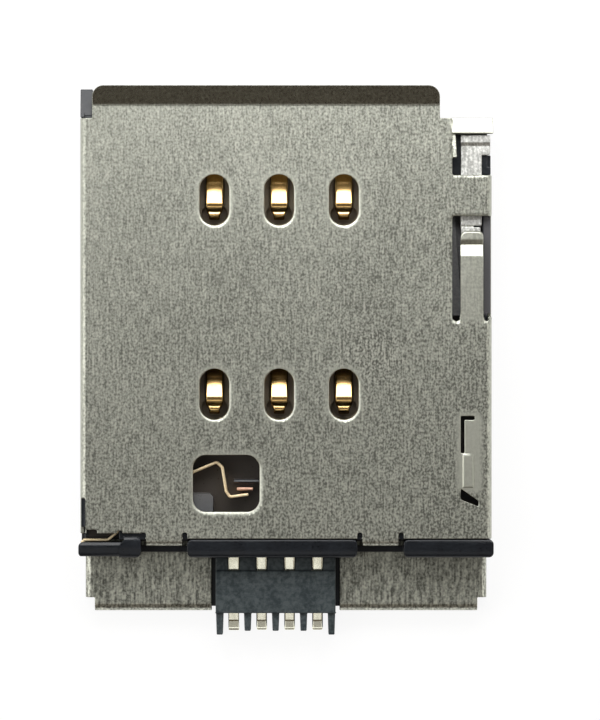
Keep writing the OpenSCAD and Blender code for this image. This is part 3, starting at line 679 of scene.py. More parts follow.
@dataclass(frozen=True)
class BrushedSteel:
    """Stainless sheet with fine rolling flecks and streaks along Y, smoother and more even where the lip is
    bent, with painted highlights on its side folds, round given openings and on given places.
    """

    name: str
    dark: Colour
    light: Colour
    fleck_per_mm: Place = (12.5, 10.0, 12.5)
    streak_per_mm: Place = (12.5, 1.7, 12.5)
    cloud_per_mm: Place = (0.35, 0.22, 0.35)
    fineness: float = 1.5
    contrast: float = 2.5
    streaks: float = 1.4
    clouds: float = 0.4
    rough: float = 0.42
    rough_swing: float = 0.16
    fleck_mm: float = 0.002
    streak_height: float = 0.5
    fade_per_mm: float = 8.0
    bent_from_mm: float = 100.0
    bent_tone: tuple[float, float] = (0.6, 0.45)
    bent_rough: float = 0.28
    bent_smooth: float = 0.8
    # Where |x| passes fold_from_mm the tone is lifted: a painted highlight along the side folds
    fold_from_mm: float = 100.0
    painted_fold_highlight: tuple[float, float] = (0.75, 0.7)
    # Painted light halo round the openings: its reach in millimetres and its strength
    painted_halo_mm: float = 0.25
    painted_halo: float = 0.8
    # Strength of the painted light on the given places: their tone is lifted towards white
    painted_light: float = 0.6
    drift: tuple[float, float] = (0.0, 0.0)

    def make(self, rims: Sequence[Opening] = (), areas: Sequence[Opening] = ()) -> Material:
        """Build the material.

        Args:
            rims: openings with a painted light halo round them.
            areas: places with a painted lighter tone, standing in for the light falling on them.

        Returns:
            The material.
        """
        material, graph = new_graph(self.name)
        fine = graph.grain(self.fleck_per_mm, self.fineness)
        lines = graph.grain(self.streak_per_mm, self.fineness)
        clouds = graph.grain(self.cloud_per_mm)
        gain = graph.place(Axis.X) * self.drift[0] + graph.place(Axis.Y) * self.drift[1] + 1.0
        fleck = ((fine - MEAN) * self.contrast + (lines - MEAN) * self.streaks) * gain
        tone = (fleck + (clouds - MEAN) * self.clouds + MEAN).share()
        formed = ((graph.place(Axis.Y) - self.bent_from_mm) * self.fade_per_mm).share()
        # Painted highlight: share of the side folds that is lightened
        fold = ((graph.place(Axis.X).size() - self.fold_from_mm) * self.fade_per_mm).share()
        bent_level, bent_share = self.bent_tone
        fold_level, fold_share = self.painted_fold_highlight
        tone = tone + (bent_level - tone) * formed * bent_share + (fold_level - tone) * fold * fold_share
        # Painted light: a halo round each rim and a lighter tone over each given place
        shares = [(rim, self.painted_halo) for rim in rims] + [(area, self.painted_light) for area in areas]
        for opening, share in shares:
            tone = tone + (1.0 - tone) * graph.rim(opening, self.painted_halo_mm) * share
        rough = (fine - MEAN) * self.rough_swing + self.rough
        height = (fine + lines * self.streak_height) * (1.0 - formed * self.bent_smooth)
        graph.close("ShaderNodeBsdfPrincipled", {
            "Base Color": graph.mix(tone, self.dark, self.light),
            "Metallic": 1.0,
            "Roughness": rough - formed * (self.rough - self.bent_rough),
            "Normal": graph.bump(height, self.fleck_mm),
        })
        return material


@dataclass(frozen=True)
class Plating:
    """Bright plated strip with faint drawing lines and stains, tinned where it leaves the deck."""

    name: str
    bright: Colour
    stain: Colour
    rough: float = 0.16
    line_per_mm: Place = (18.0, 2.5, 18.0)
    line_mm: float = 0.0006
    lined: tuple[float, float] = (0.6, 0.06)
    smudge_per_mm: Place = (1.6, 1.6, 1.6)
    smudge_from: float = 0.45
    smudged: tuple[float, float] = (1.8, 0.14)
    tin: Colour = (0.94, 0.93, 0.77)
    tin_stain: Colour = (0.81, 0.79, 0.60)
    tin_from_mm: float = -7.5
    tin_fade: float = 20.0
    tin_rough: float = 0.25

    def make(self) -> Material:
        """Build the material."""
        material, graph = new_graph(self.name)
        lines = graph.grain(self.line_per_mm)
        smudge = graph.grain(self.smudge_per_mm, detail=3.0, rough=0.6)
        line_stain, line_rough = self.lined
        smudge_stain, smudge_rough = self.smudged
        share = ((smudge - self.smudge_from) * smudge_stain + (lines - MEAN) * line_stain).share()
        tinned = ((self.tin_from_mm - graph.place(Axis.Y)) * self.tin_fade).share()
        rough = (smudge - MEAN) * smudge_rough + (lines - MEAN) * line_rough + self.rough
        plated = graph.mix(share, self.bright, self.stain)
        solder = graph.mix(share, self.tin, self.tin_stain)
        graph.close("ShaderNodeBsdfPrincipled", {
            "Base Color": graph.mix(tinned, plated, solder),
            "Metallic": 1.0,
            "Roughness": rough + tinned * (self.tin_rough - self.rough),
            "Normal": graph.bump(lines, self.line_mm),
        })
        return material


@dataclass(frozen=True)
class MouldedResin:
    """Moulded resin with a fine eroded surface and faint flow marks."""

    name: str
    dark: Colour
    light: Colour
    rough: float = 0.45
    pits_per_mm: float = 11.0
    pitted: float = 2.0
    pit_rough: float = 0.3
    pit_mm: float = 0.002
    flow_per_mm: Place = (2.2, 0.8, 2.2)
    flow_marks: float = 1.6
    flow_rough: float = 0.15
    refraction: float = 1.5
    # Brown painted low inside: painted warm reflected light, not a colour of the resin
    deep: Colour = (0.0, 0.0, 0.0)
    deep_mm: tuple[float, float] = (0.0, 0.0)
    deep_fade: tuple[float, float] = (20.0, 2.0)
    # Tan painted under the sheet's openings: painted light falling in through them
    under: Colour = (0.0, 0.0, 0.0)
    # Lighter grey painted on given places: a painted sheen of the lit resin
    painted_sheen: Colour = (0.11, 0.108, 0.115)

    def make(
        self, inside: Sequence[Opening] = (), openings: Sequence[Opening] = (), sheen_places: Sequence[Opening] = ()
    ) -> Material:
        """Build the material, with painted warm reflected light between two heights of its inside.

        Args:
            inside: places of the inside.
            openings: openings of the sheet above, with painted light in a tan colour under them.
            sheen_places: places with a painted grey sheen.

        Returns:
            The material.
        """
        material, graph = new_graph(self.name)
        pits = graph.grain((self.pits_per_mm,) * 3, detail=3.0, rough=0.6)
        flow = graph.grain(self.flow_per_mm, detail=3.0, rough=0.55)
        share = ((flow - MEAN) * self.flow_marks + (pits - MEAN) * self.pitted + MEAN).share()
        bottom, top = self.deep_mm
        rise, fade = self.deep_fade
        height = graph.place(Axis.Z)
        low = ((top - height) * fade).share() * ((height - bottom) * rise).share()
        colour = graph.mix(share, self.dark, self.light)
        # Painted warm reflected light low inside the given places
        for room in inside:
            colour = graph.mix(low * graph.rim(room, LAP), colour, self.deep)
        # Painted light under each opening of the sheet above
        for opening in openings:
            colour = graph.mix(low * graph.rim(opening, LAP), colour, self.under)
        # Painted grey sheen over the given places
        for place in sheen_places:
            colour = graph.mix(graph.rim(place, LAP), colour, self.painted_sheen)
        graph.close("ShaderNodeBsdfPrincipled", {
            "Base Color": colour,
            "Roughness": (pits - MEAN) * self.pit_rough + (flow - MEAN) * self.flow_rough + self.rough,
            "Normal": graph.bump(pits, self.pit_mm),
            "IOR": self.refraction,
        })
        return material


# fold_from_mm turns on the painted highlight along the cover's side folds
COVER_STEEL = BrushedSteel(
    "cover_steel_brushed", (0.20, 0.204, 0.175), (0.62, 0.63, 0.545), bent_from_mm=9.96, fold_from_mm=7.9,
    drift=(0.02, -0.025),
)
BASE_STEEL = BrushedSteel(
    "base_steel_streaked", (0.18, 0.183, 0.157), (0.70, 0.71, 0.61), contrast=2.0, streaks=2.0, rough=0.4
)
LINK_STEEL = BrushedSteel("link_steel_stamped", (0.50, 0.50, 0.47), (0.96, 0.96, 0.92), rough=0.46)
CONTACT_GOLD = Plating("contact_gold_plating", (0.87, 0.59, 0.25), (0.55, 0.335, 0.135), rough=0.2)
SWITCH_GOLD = Plating("switch_gold_plating", (1.0, 0.84, 0.56), (0.84, 0.62, 0.36), rough=0.48)
SWITCH_COPPER = Plating("switch_copper_plating", (1.0, 0.64, 0.48), (0.74, 0.40, 0.28), rough=0.42)
# deep and under are painted light: warm reflection low inside, tan light under the slots
DECK_RESIN = MouldedResin(
    "deck_resin_black", (0.002, 0.0035, 0.006), (0.008, 0.011, 0.016), rough=0.34,
    deep=(0.060, 0.050, 0.042), deep_mm=(1.02, 1.95), under=(0.34, 0.28, 0.20),
)
COMB_RESIN = MouldedResin(
    "comb_resin_slate", (0.016, 0.026, 0.030), (0.058, 0.073, 0.077), rough=0.5,
    pits_per_mm=7.0, pitted=3.4, pit_mm=0.004,
)
SLIDER_RESIN = MouldedResin("slider_resin_black", (0.09, 0.09, 0.092), (0.15, 0.15, 0.152), rough=0.38)


# Stations of the socket


@dataclass(frozen=True)
class Stations:
    """Sizes, lines and levels that the pieces share, in millimetres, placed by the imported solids."""

    sheet: float = 0.15
    fold_r: float = 0.25
    floor_t: float = 0.45
    bar_drop: float = 0.08
    lip_reach: float = 0.88
    corner_cut: float = 0.44
    tab_reach: float = 0.28
    skirt: float = 0.35
    edge_gap: float = 0.03
    fit_gap: float = 0.02
    strip: float = 0.15
    strip_lift: float = 0.225
    shelf: float = 0.54
    crown_lead: float = 0.22
    pocket_rear: float = 1.11
    tail_w: float = 0.42
    tail_pitch: float = 1.1
    tail_count: int = 4
    rib_short: float = 0.15
    cover: tuple[Vector, Vector] = field(default_factory=lambda: corners("cover_shell"))
    deck: tuple[Vector, Vector] = field(default_factory=lambda: corners("deck_housing"))
    base: tuple[Vector, Vector] = field(default_factory=lambda: corners("base_shell"))
    comb: tuple[Vector, Vector] = field(default_factory=lambda: corners("tail_comb"))
    slider: tuple[Vector, Vector] = field(default_factory=lambda: corners("ejector_slider"))
    link: tuple[Vector, Vector] = field(default_factory=lambda: corners("cam_link"))

    @property
    def cover_half(self) -> float:
        """Half the width over the cover's walls."""
        return -self.cover[0].x

    @property
    def base_half(self) -> float:
        """Half the width over the base, and over the deck."""
        return self.base[1].x

    @property
    def y_front(self) -> float:
        """Front edge of the lip."""
        return self.cover[1].y

    @property
    def y_fold(self) -> float:
        """Fold of the lip."""
        return self.y_front - self.lip_reach

    @property
    def y_corner(self) -> float:
        """Front corners of the cover and of the deck's floor."""
        return self.y_fold - self.corner_cut

    @property
    def y_rear(self) -> float:
        """Rear edge of the cover."""
        return self.cover[0].y + self.tab_reach

    @property
    def y_bar(self) -> float:
        """Rear face of the deck's bar."""
        return self.deck[0].y

    @property
    def z_base(self) -> float:
        """Top of the base."""
        return self.base[1].z

    @property
    def z_floor(self) -> float:
        """Top of the deck's floor."""
        return self.z_base + self.floor_t

    @property
    def z_strip(self) -> float:
        """Middle of the contact strips in the floor."""
        return self.z_base + self.strip_lift

    @property
    def z_top(self) -> float:
        """Top of the cover."""
        return self.deck[1].z + self.bar_drop

    @property
    def z_roof(self) -> float:
        """Underside of the cover."""
        return self.z_top - self.sheet

    @property
    def z_sheet(self) -> float:
        """Middle of the cover's sheet."""
        return self.z_top - self.sheet / 2

    @property
    def columns(self) -> list[float]:
        """Middles of the contact columns."""
        boxes = [corners(f"contact_front_{i}") for i in (1, 2, 3)]
        return [(low.x + high.x) / 2 for low, high in boxes]

    @property
    def tails(self) -> list[float]:
        """Middles of the rear tails."""
        middle = (self.comb[0].x + self.comb[1].x) / 2
        half = (self.tail_count - 1) / 2
        return [middle + (i - half) * self.tail_pitch for i in range(self.tail_count)]


# Cover


@dataclass
class Cover:
    """Folded steel cover with its lip, openings, finger, flap, lanced tab and rear tabs."""

    at: Stations
    lip_inset: tuple[float, float] = (0.47, 2.03)
    lip_corner_r: float = 0.45
    lip_lead: float = 0.1
    lip_fold_r: float = 0.3
    lip_short: float = 0.05
    slot: tuple[float, float] = (1.16, 2.0)
    row_inset: float = 3.65
    row_pitch: float = 7.62
    window: tuple[float, float] = (2.61, 2.22)
    window_inset: float = 4.42
    window_rear: float = 1.06
    window_r: float = 0.5
    finger_front: float = 4.28
    finger_window: float = 4.12
    finger_w: float = 0.89
    finger_gap: float = 0.33
    finger_tip: float = 0.59
    # Distances of the finger's bends from its tip, their radii, and how low its dip and its tip lie
    finger_bends: tuple[float, float, float] = (0.99, 0.53, 0.32)
    finger_radii: tuple[float, float, float] = (0.12, 0.06, 0.08)
    finger_drops: tuple[float, float] = (0.16, 0.03)
    tip_r: float = 0.2
    tip_rim_r: float = 0.08
    pivot_place: tuple[float, float] = (0.02, 1.33)
    corner_open: float = 2.68
    flap_over: float = 0.05
    flap_d: float = 0.61
    flap_drop: float = 0.16
    flap_lean: float = 0.18
    # Width and length of the flap's leg, then how far its ends lie above and below the sheet's middle
    flap_leg: tuple[float, float] = (0.17, 0.95)
    flap_leg_ends: tuple[float, float] = (0.08, 0.2)
    flap_leg_drop: float = 0.04
    lance_front: float = 12.13
    lance: tuple[float, float] = (0.7, 2.84)
    lance_slit: float = 1.45
    lance_cut: float = 0.15
    lance_r: float = 0.045
    lance_open: float = 0.43
    lance_fall: float = 0.49
    lance_open_r: float = 0.06
    boss: tuple[float, float] = (0.1, 0.39)
    boss_lift: float = 0.05
    boss_facet: tuple[float, float] = (0.14, 0.05)
    tab_x: tuple[float, float] = (-4.78, 3.71)
    tab_w: float = 1.42
    tab_gap: float = 0.2
    relief: float = 0.24
    relief_r: float = 0.08
    # Left and right side and depth of the nicks in the rear edge
    nicks: tuple[tuple[float, float, float], ...] = ((-7.84, -7.41, 0.14), (-6.63, -6.42, 0.10))
    nick_r: float = 0.05
    slit: float = 1.6
    slit_deep: float = 0.2
    slit_over: float = 0.06
    leg_w: float = 1.3
    leg_r: float = 0.2
    leg_places: tuple[float, float] = (0.78, 3.2)
    catch: tuple[float, float] = (1.1, 0.35)
    catch_places: tuple[float, float] = (1.5, 6.5)
    catch_lift: float = 0.2
    inner_r: float = 0.1
    roll: tuple[float, float] = (0.13, 0.047)
    window_roll: float = 1.5
    edge_r: float = 0.03

    @property
    def lip_ends(self) -> tuple[float, float]:
        """Left and right end of the lip."""
        return -self.at.cover_half + self.lip_inset[0], self.at.cover_half - self.lip_inset[1]

    @property
    def finger_sides(self) -> tuple[float, float]:
        """Left and right side of the finger."""
        right = self.at.cover_half - self.finger_gap
        return right - self.finger_w, right

    @property
    def open_left(self) -> float:
        """Left side of the openings at the right."""
        return self.finger_sides[0] - self.finger_gap

    @property
    def y_head(self) -> float:
        """Front end of the finger's window."""
        return self.at.y_fold - self.finger_front

    @property
    def y_root(self) -> float:
        """Root of the finger."""
        return self.y_head - self.finger_window

    @property
    def y_open(self) -> float:
        """Rear end of the opening at the front right corner."""
        return self.at.y_fold - self.corner_open

    @property
    def pivot(self) -> tuple[float, float]:
        """Pivot of the cam link under the cover, in plan."""
        left, right = self.finger_sides
        return (left + right) / 2 - self.pivot_place[0], self.at.y_fold - self.pivot_place[1]

    @property
    def y_rear_left(self) -> float:
        """Rear edge left of the tabs."""
        return self.at.y_rear + self.relief - self.at.edge_gap

    def build(self, finish: Material) -> None:
        """Model the cover and deliver it."""
        at = self.at
        low = (-at.cover_half, at.y_rear, at.z_base - at.skirt)
        shell = channel("cover", low, (at.cover_half, at.y_fold, at.z_top), at.sheet, at.fold_r)
        tools = [*self.plan_cuts(), *self.side_cuts(), *self.lance_cuts(), *self.rear_cuts()]
        combine(shell, tools, Joining.CUT)
        parts = [self.lip(), self.finger(), self.lance_boss(), *self.flap(), *self.tabs(), *self.legs()]
        combine(shell, parts, Joining.WELD)
        soften(shell, self.edge_r)
        deliver(shell, Body.SOCKET, finish, ["cover_shell"])

    def through(self, low: Place, high: Place, radius: float = 0.0) -> Object:
        """Make a tool that cuts the top sheet only.

        Args:
            low: left and rear side.
            high: right and front side.
            radius: radius of its corners, or 0.

        Returns:
            The tool.
        """
        bottom, top = self.at.z_roof - self.at.fold_r, self.at.z_top + OVER
        if radius:
            return plate("opening", (*low, bottom), (*high, top), radius)
        return block("opening", (*low, bottom), (*high, top))

    def slots(self) -> list[Opening]:
        """Give the contact slots, in plan."""
        at = self.at
        wide, long = self.slot
        front = at.y_fold - self.row_inset
        made = []
        for x in at.columns:
            for y in (front, front - self.row_pitch):
                low, high = (x - wide / 2, y - long / 2), (x + wide / 2, y + long / 2)
                made.append(Opening(low, high, ROUND_END * wide))
        return made

    def window_plan(self) -> Opening:
        """Give the switch window, in plan."""
        left = -self.at.cover_half + self.window_inset
        back = self.at.y_rear + self.window_rear
        return Opening((left, back), (left + self.window[0], back + self.window[1]), self.window_r)

    def finger_plan(self) -> Opening:
        """Give the finger's place in plan."""
        left, right = self.finger_sides
        return Opening((left, self.y_root + LAP), (right, self.y_head), LAP)

    def flap_plan(self) -> Opening:
        """Give the flap's place in plan."""
        at = self.at
        low = (self.open_left, at.y_corner - self.flap_d)
        return Opening(low, (at.cover_half + self.flap_over, at.y_corner), TINY)

    def rolled(
        self, low: Place, high: Place, radius: float, more: float = 1.0, front: bool = True
    ) -> list[Object]:
        """Make the tools of an opening whose upper edge the punch has drawn in.

        Args:
            low: left and rear side.
            high: right and front side.
            radius: radius of its corners.
            more: size of the drawn edge against the usual one.
            front: whether its front edge is drawn in too.

        Returns:
            The opening itself and the flare above it.
        """
        wide, deep = (more * size for size in self.roll)
        z = self.at.z_top
        grown = 2 * wide
        slack = 5 * TINY
        lead = grown if front else -slack
        outer_low = (low[0] - grown, low[1] - grown)
        outer_high = (high[0] + grown, high[1] + lead)
        flare = plate("flare", (*outer_low, z - deep), (*outer_high, z + deep), radius + grown)
        shrink = [(high[i] - low[i] - 2 * slack) / (outer_high[i] - outer_low[i]) for i in range(2)]
        centre = [(low[i] + slack - shrink[i] * outer_low[i]) / (1 - shrink[i]) for i in range(2)]
        pick(flare, Element.POINT, lambda place, normal: place.z < z)
        bpy.ops.transform.resize(value=(*shrink, 1), center_override=(*centre, z - deep))
        leave_edit()
        return [self.through(low, high, radius), flare]

    def plan_cuts(self) -> list[Object]:
        """Make the tools of the slots, the switch window and the finger's window."""
        at = self.at
        tools = []
        for slot in self.slots():
            tools += self.rolled(slot.low, slot.high, slot.radius, front=False)
        window = self.window_plan()
        tools += self.rolled(window.low, window.high, window.radius, self.window_roll, False)
        gap = self.finger_gap
        for x in (self.open_left, self.finger_sides[1]):
            tools += self.rolled((x, self.y_root), (x + gap, self.y_root + 3 * gap), ROUND_END * gap)
        outer = at.cover_half + OVER
        tools += self.rolled((self.open_left, self.y_root + gap), (outer, self.y_head), self.inner_r)
        tools += self.rolled((self.open_left, self.y_open), (outer, at.y_fold), self.inner_r)
        return tools

    def side_cuts(self) -> list[Object]:
        """Make the tools that open the front corners and the side walls."""
        at = self.at
        outer = at.cover_half + OVER
        inner = at.cover_half - at.sheet - LAP
        top = at.z_top + OVER
        wall_low = at.z_floor + LAP
        y_wall = self.y_root + self.finger_gap / 2
        left, right = self.lip_ends
        tools = [
            block("corner", (-outer, at.y_corner, -OVER), (left, at.y_fold + OVER, top)),
            block("corner", (right, at.y_corner, -OVER), (outer, at.y_fold + OVER, top)),
            block("corner", (inner, self.y_open, -OVER), (outer, at.y_fold, top)),
            block("wall", (self.finger_sides[1], y_wall, wall_low), (outer, self.y_head, top)),
        ]
        long, high = self.catch
        low = at.z_floor + self.catch_lift
        for side in (-1, 1):
            for place in self.catch_places:
                y = at.y_rear + place
                middle = side * at.cover_half
                rear = (middle - OVER, y - long / 2, low)
                tools.append(block("catch", rear, (middle + OVER, y + long / 2, low + high)))
        return tools

    def lance_cuts(self) -> list[Object]:
        """Make the tools of the lanced tab: slit, front cut and slanted opening."""
        at = self.at
        left = self.finger_sides[0]
        wide, long = self.lance
        y_front = at.y_fold - self.lance_front
        y_slant = y_front - long
        cut = self.lance_cut
        slit = self.through((left, y_front - self.lance_slit), (left + cut, y_front), self.lance_r)
        front = self.through((left, y_front - cut), (left + wide - cut, y_front), self.lance_r)
        slant = self.through((left, y_slant - self.lance_open), (left + wide, y_slant))
        middle = left + wide / 2
        y_right = y_slant - self.lance_fall - TINY
        move_points(slant, lambda place: place.x > middle, (0, -self.lance_fall, 0))
        narrower = (0, self.lance_open / 2, 0)
        move_points(slant, lambda place: place.x > middle and place.y < y_right, narrower)
        round_edges(slant, along(Axis.Z), self.lance_open_r, 4)
        return [slit, front, slant]

    def lance_plan(self) -> Opening:
        """Give the lanced tab's place in plan."""
        wide, long = self.lance
        left = self.finger_sides[0]
        y_front = self.at.y_fold - self.lance_front
        return Opening((left, y_front - long), (left + wide, y_front), LAP)

    def lance_boss(self) -> Object:
        """Emboss the lanced tab, with a slope towards the mouth."""
        at = self.at
        tab = self.lance_plan()
        inset, wide = self.boss
        left = tab.low[0] + inset
        front = tab.high[1] - self.lance_slit
        top = at.z_top + self.boss_lift
        rear = (left, tab.low[1] + LAP / 2, at.z_roof + 5 * TINY)
        boss = block("boss", rear, (left + wide, front, top))
        return lean(boss, front, top, self.boss_facet)

    def rear_cuts(self) -> list[Object]:
        """Make the tools of the rear edge: reliefs, the shorter left edge with its nicks, and the slit."""
        at = self.at
        y = at.y_rear
        outer = at.cover_half + OVER
        top = at.z_top + OVER
        tools = []
        for x in self.tab_x:
            for side in (-1, 1):
                middle = x + side * (self.tab_w + self.tab_gap) / 2
                half = self.tab_gap / 2
                high = (middle + half, y + self.relief)
                tools.append(self.through((middle - half, y - OVER), high, self.relief_r))
        end = self.tab_x[0] - self.tab_w / 2 - self.tab_gap / 2
        tools.append(self.through((-outer, y - OVER), (end, self.y_rear_left)))
        for left, right, depth in self.nicks:
            tools.append(self.through((left, y - OVER), (right, self.y_rear_left + depth), self.nick_r))
        inner = -at.cover_half + at.sheet
        tools.append(block("wall", (-outer, y - OVER, -OVER), (inner + LAP, self.y_rear_left, top)))
        slit_low = (-outer, y - OVER, at.z_roof - self.slit_deep)
        slit_high = (inner + self.slit_over, y + self.slit, top)
        tools.append(plate("slit", slit_low, slit_high, self.inner_r))
        return tools

    def lip(self) -> Object:
        """Bend the lip upwards and round its front corners."""
        at = self.at
        rise = (at.cover[1].z - TINY - at.z_top) / at.lip_reach
        end = (at.y_front + OVER, at.z_sheet + rise * (at.lip_reach + OVER))
        left, right = self.lip_ends
        line = [(at.y_fold - LAP, at.z_sheet), (at.y_fold + self.lip_lead, at.z_sheet), end]
        lip = side_ribbon("lip", line, [self.lip_fold_r], left, right, at.sheet)
        y_end = at.y_front - self.lip_short
        beyond_high = (right + OVER, y_end + 3 * OVER, 2 * at.cover[1].z)
        beyond = block("beyond", (left - OVER, y_end, 0), beyond_high)
        combine(lip, [beyond], Joining.CUT)

        def front_corner(middle: Vector, span: Vector) -> bool:
            """Tell whether an edge is a front corner of the lip."""
            inside = left + LAP < middle.x < right - LAP
            return middle.y > y_end - at.sheet and abs(span.x) < TINY and not inside

        return round_edges(lip, front_corner, self.lip_corner_r, 8)

    def finger(self) -> Object:
        """Bend the hold-down finger and round the corners of its tip."""
        at = self.at
        y_tip = self.y_head - self.finger_tip
        low, level = (at.z_sheet - drop for drop in self.finger_drops)
        fall, dip, rise = (y_tip - back for back in self.finger_bends)
        arm = [(self.y_root - LAP, at.z_sheet), (fall, at.z_sheet)]
        line = [*arm, (dip, low), (rise, level), (y_tip, level)]
        left, right = self.finger_sides
        finger = side_ribbon("finger", line, self.finger_radii, left, right, at.sheet)

        def tip_corner(middle: Vector, span: Vector) -> bool:
            """Tell whether an edge is a corner of the finger's tip."""
            return middle.y > y_tip - TINY and abs(span.x) < TINY

        round_edges(finger, tip_corner, self.tip_r)
        top = level + at.sheet / 2

        def tip_rim(middle: Vector, span: Vector) -> bool:
            """Tell whether an edge belongs to the upper rim of the tip."""
            return middle.y > y_tip - self.tip_r - 5 * TINY and middle.z > top - TINY

        return round_edges(finger, tip_rim, self.tip_rim_r, 4)

    def flap(self) -> list[Object]:
        """Turn down the front right corner, with a leg along the opening."""
        at = self.at
        right = at.cover_half + self.flap_over
        left = self.open_left - 10 * TINY
        y_flap = at.y_corner - self.flap_d
        middle = (left + right) / 2
        z_rear = at.z_sheet - self.flap_drop / 2
        path = [Vector((middle, y_flap, z_rear)), Vector((middle, at.y_corner, z_rear - self.flap_lean))]
        band = ribbon("flap", path, (right - left, 0, -self.flap_drop), at.sheet)
        leg_w, leg_l = self.flap_leg
        rise, fall = self.flap_leg_ends
        leg_path = [
            Vector((left + leg_w / 2, y_flap - leg_l, at.z_sheet + rise)),
            Vector((left + leg_w / 2, y_flap + LAP, at.z_sheet - fall)),
        ]
        return [band, ribbon("flap_leg", leg_path, (leg_w, 0, -self.flap_leg_drop), at.sheet)]

    def tabs(self) -> list[Object]:
        """Bend the two rear tabs down over the deck's rear wall."""
        at = self.at
        y = at.cover[0].y + at.sheet / 2
        line = [(at.y_rear + LAP, at.z_sheet), (y, at.z_sheet), (y, at.z_floor - LAP)]
        half = self.tab_w / 2 - 2 * TINY
        bend = [at.fold_r - at.sheet / 2]
        return [side_ribbon("tab", line, bend, x - half, x + half, at.sheet) for x in self.tab_x]

    def legs(self) -> list[Object]:
        """Make the four solder legs below the side walls."""
        at = self.at
        places = (self.y_head + self.leg_places[0], at.y_rear + self.leg_places[1])
        made = []
        for y in places:
            for left in (-at.cover_half, at.cover_half - at.sheet):
                low = (left, y - self.leg_w / 2, 0)
                leg = block("leg", low, (left + at.sheet, y + self.leg_w / 2, at.z_base - at.skirt + LAP))
                round_edges(leg, along(Axis.X, lambda middle: middle.z < TINY), self.leg_r, 4)
                made.append(leg)
        return made


# Base


@dataclass
class Base:
    """Folded base sheet with its rear flange, and the moulded frame inside it."""

    at: Stations
    flange_inset: float = 0.36
    flange_lift: float = 0.05
    comb_gap: float = 0.16
    comb_r: float = 0.08
    rim: float = 1.2
    rib: float = 0.9
    bays: int = 6
    bay_r: float = 0.15
    rear_over: float = 0.16
    edge_r: float = 0.035

    @property
    def frame_half(self) -> float:
        """Half the width of the frame."""
        return self.at.base_half - self.at.sheet - self.at.fit_gap

    def build(self, steel: Material, resin: Material) -> None:
        """Model the sheet and the frame and deliver them."""
        sheet = self.shell()
        soften(sheet, self.edge_r)
        deliver(sheet, Body.SOCKET, steel, ["base_shell"])
        inside = self.frame()
        soften(inside, self.edge_r, 2)
        deliver(inside, Body.SOCKET, resin, ["base_frame"])

    def shell(self) -> Object:
        """Fold the base sheet and cut it out round the comb."""
        at = self.at
        low, high = at.base
        inset = self.flange_inset
        shell = channel("base", (low.x, low.y + inset, 0), high, at.sheet, at.fold_r)
        middle = high.z - at.sheet / 2
        y = low.y - self.rear_over + at.sheet / 2
        line = [(low.y + inset + LAP, middle), (y, middle), (y, self.flange_lift)]
        flange = side_ribbon("flange", line, [at.fold_r], low.x + inset, high.x - inset, at.sheet)
        combine(shell, [flange], Joining.WELD)
        comb_low, comb_high = at.comb
        gap = self.comb_gap
        opening = plate(
            "opening", (comb_low.x - gap, low.y - OVER, -OVER),
            (comb_high.x + gap, comb_high.y + gap, high.z + OVER), self.comb_r, 4,
        )
        return combine(shell, [opening], Joining.CUT)

    def frame(self) -> Object:
        """Mould the frame: a rim with cross ribs, open round the comb."""
        at = self.at
        low, high = at.base
        rear = low.y - self.rear_over + at.sheet + at.fit_gap
        top = high.z - at.sheet
        inside = block("base_frame", (-self.frame_half, rear, 0), (self.frame_half, high.y, top))
        round_edges(inside, lambda middle, span: middle.z > top - TINY, at.fold_r - at.sheet, 4)
        comb_low, comb_high = at.comb
        first = high.y - self.rim
        bay = (first - comb_high.y - self.rim - (self.bays - 1) * self.rib) / self.bays
        tools = []
        for i in range(self.bays):
            y = first - i * (bay + self.rib)
            side = self.frame_half - self.rim
            tools.append(plate("bay", (-side, y - bay, -OVER), (side, y, top + OVER), self.bay_r, 4))
        corner = self.flange_inset + at.sheet
        for side in (-1, 1):
            left, right = sorted((side * (at.base_half - corner), side * (at.base_half + OVER)))
            corner_low = (left, rear - OVER, -OVER)
            tools.append(block("corner", corner_low, (right, low.y + corner, top + OVER)))
        snug = at.fit_gap
        room_low = (comb_low.x + snug, rear - OVER, -OVER)
        tools.append(block("room", room_low, (comb_high.x - snug, comb_high.y - snug, top + OVER)))
        return combine(inside, tools, Joining.CUT)


# Tail comb


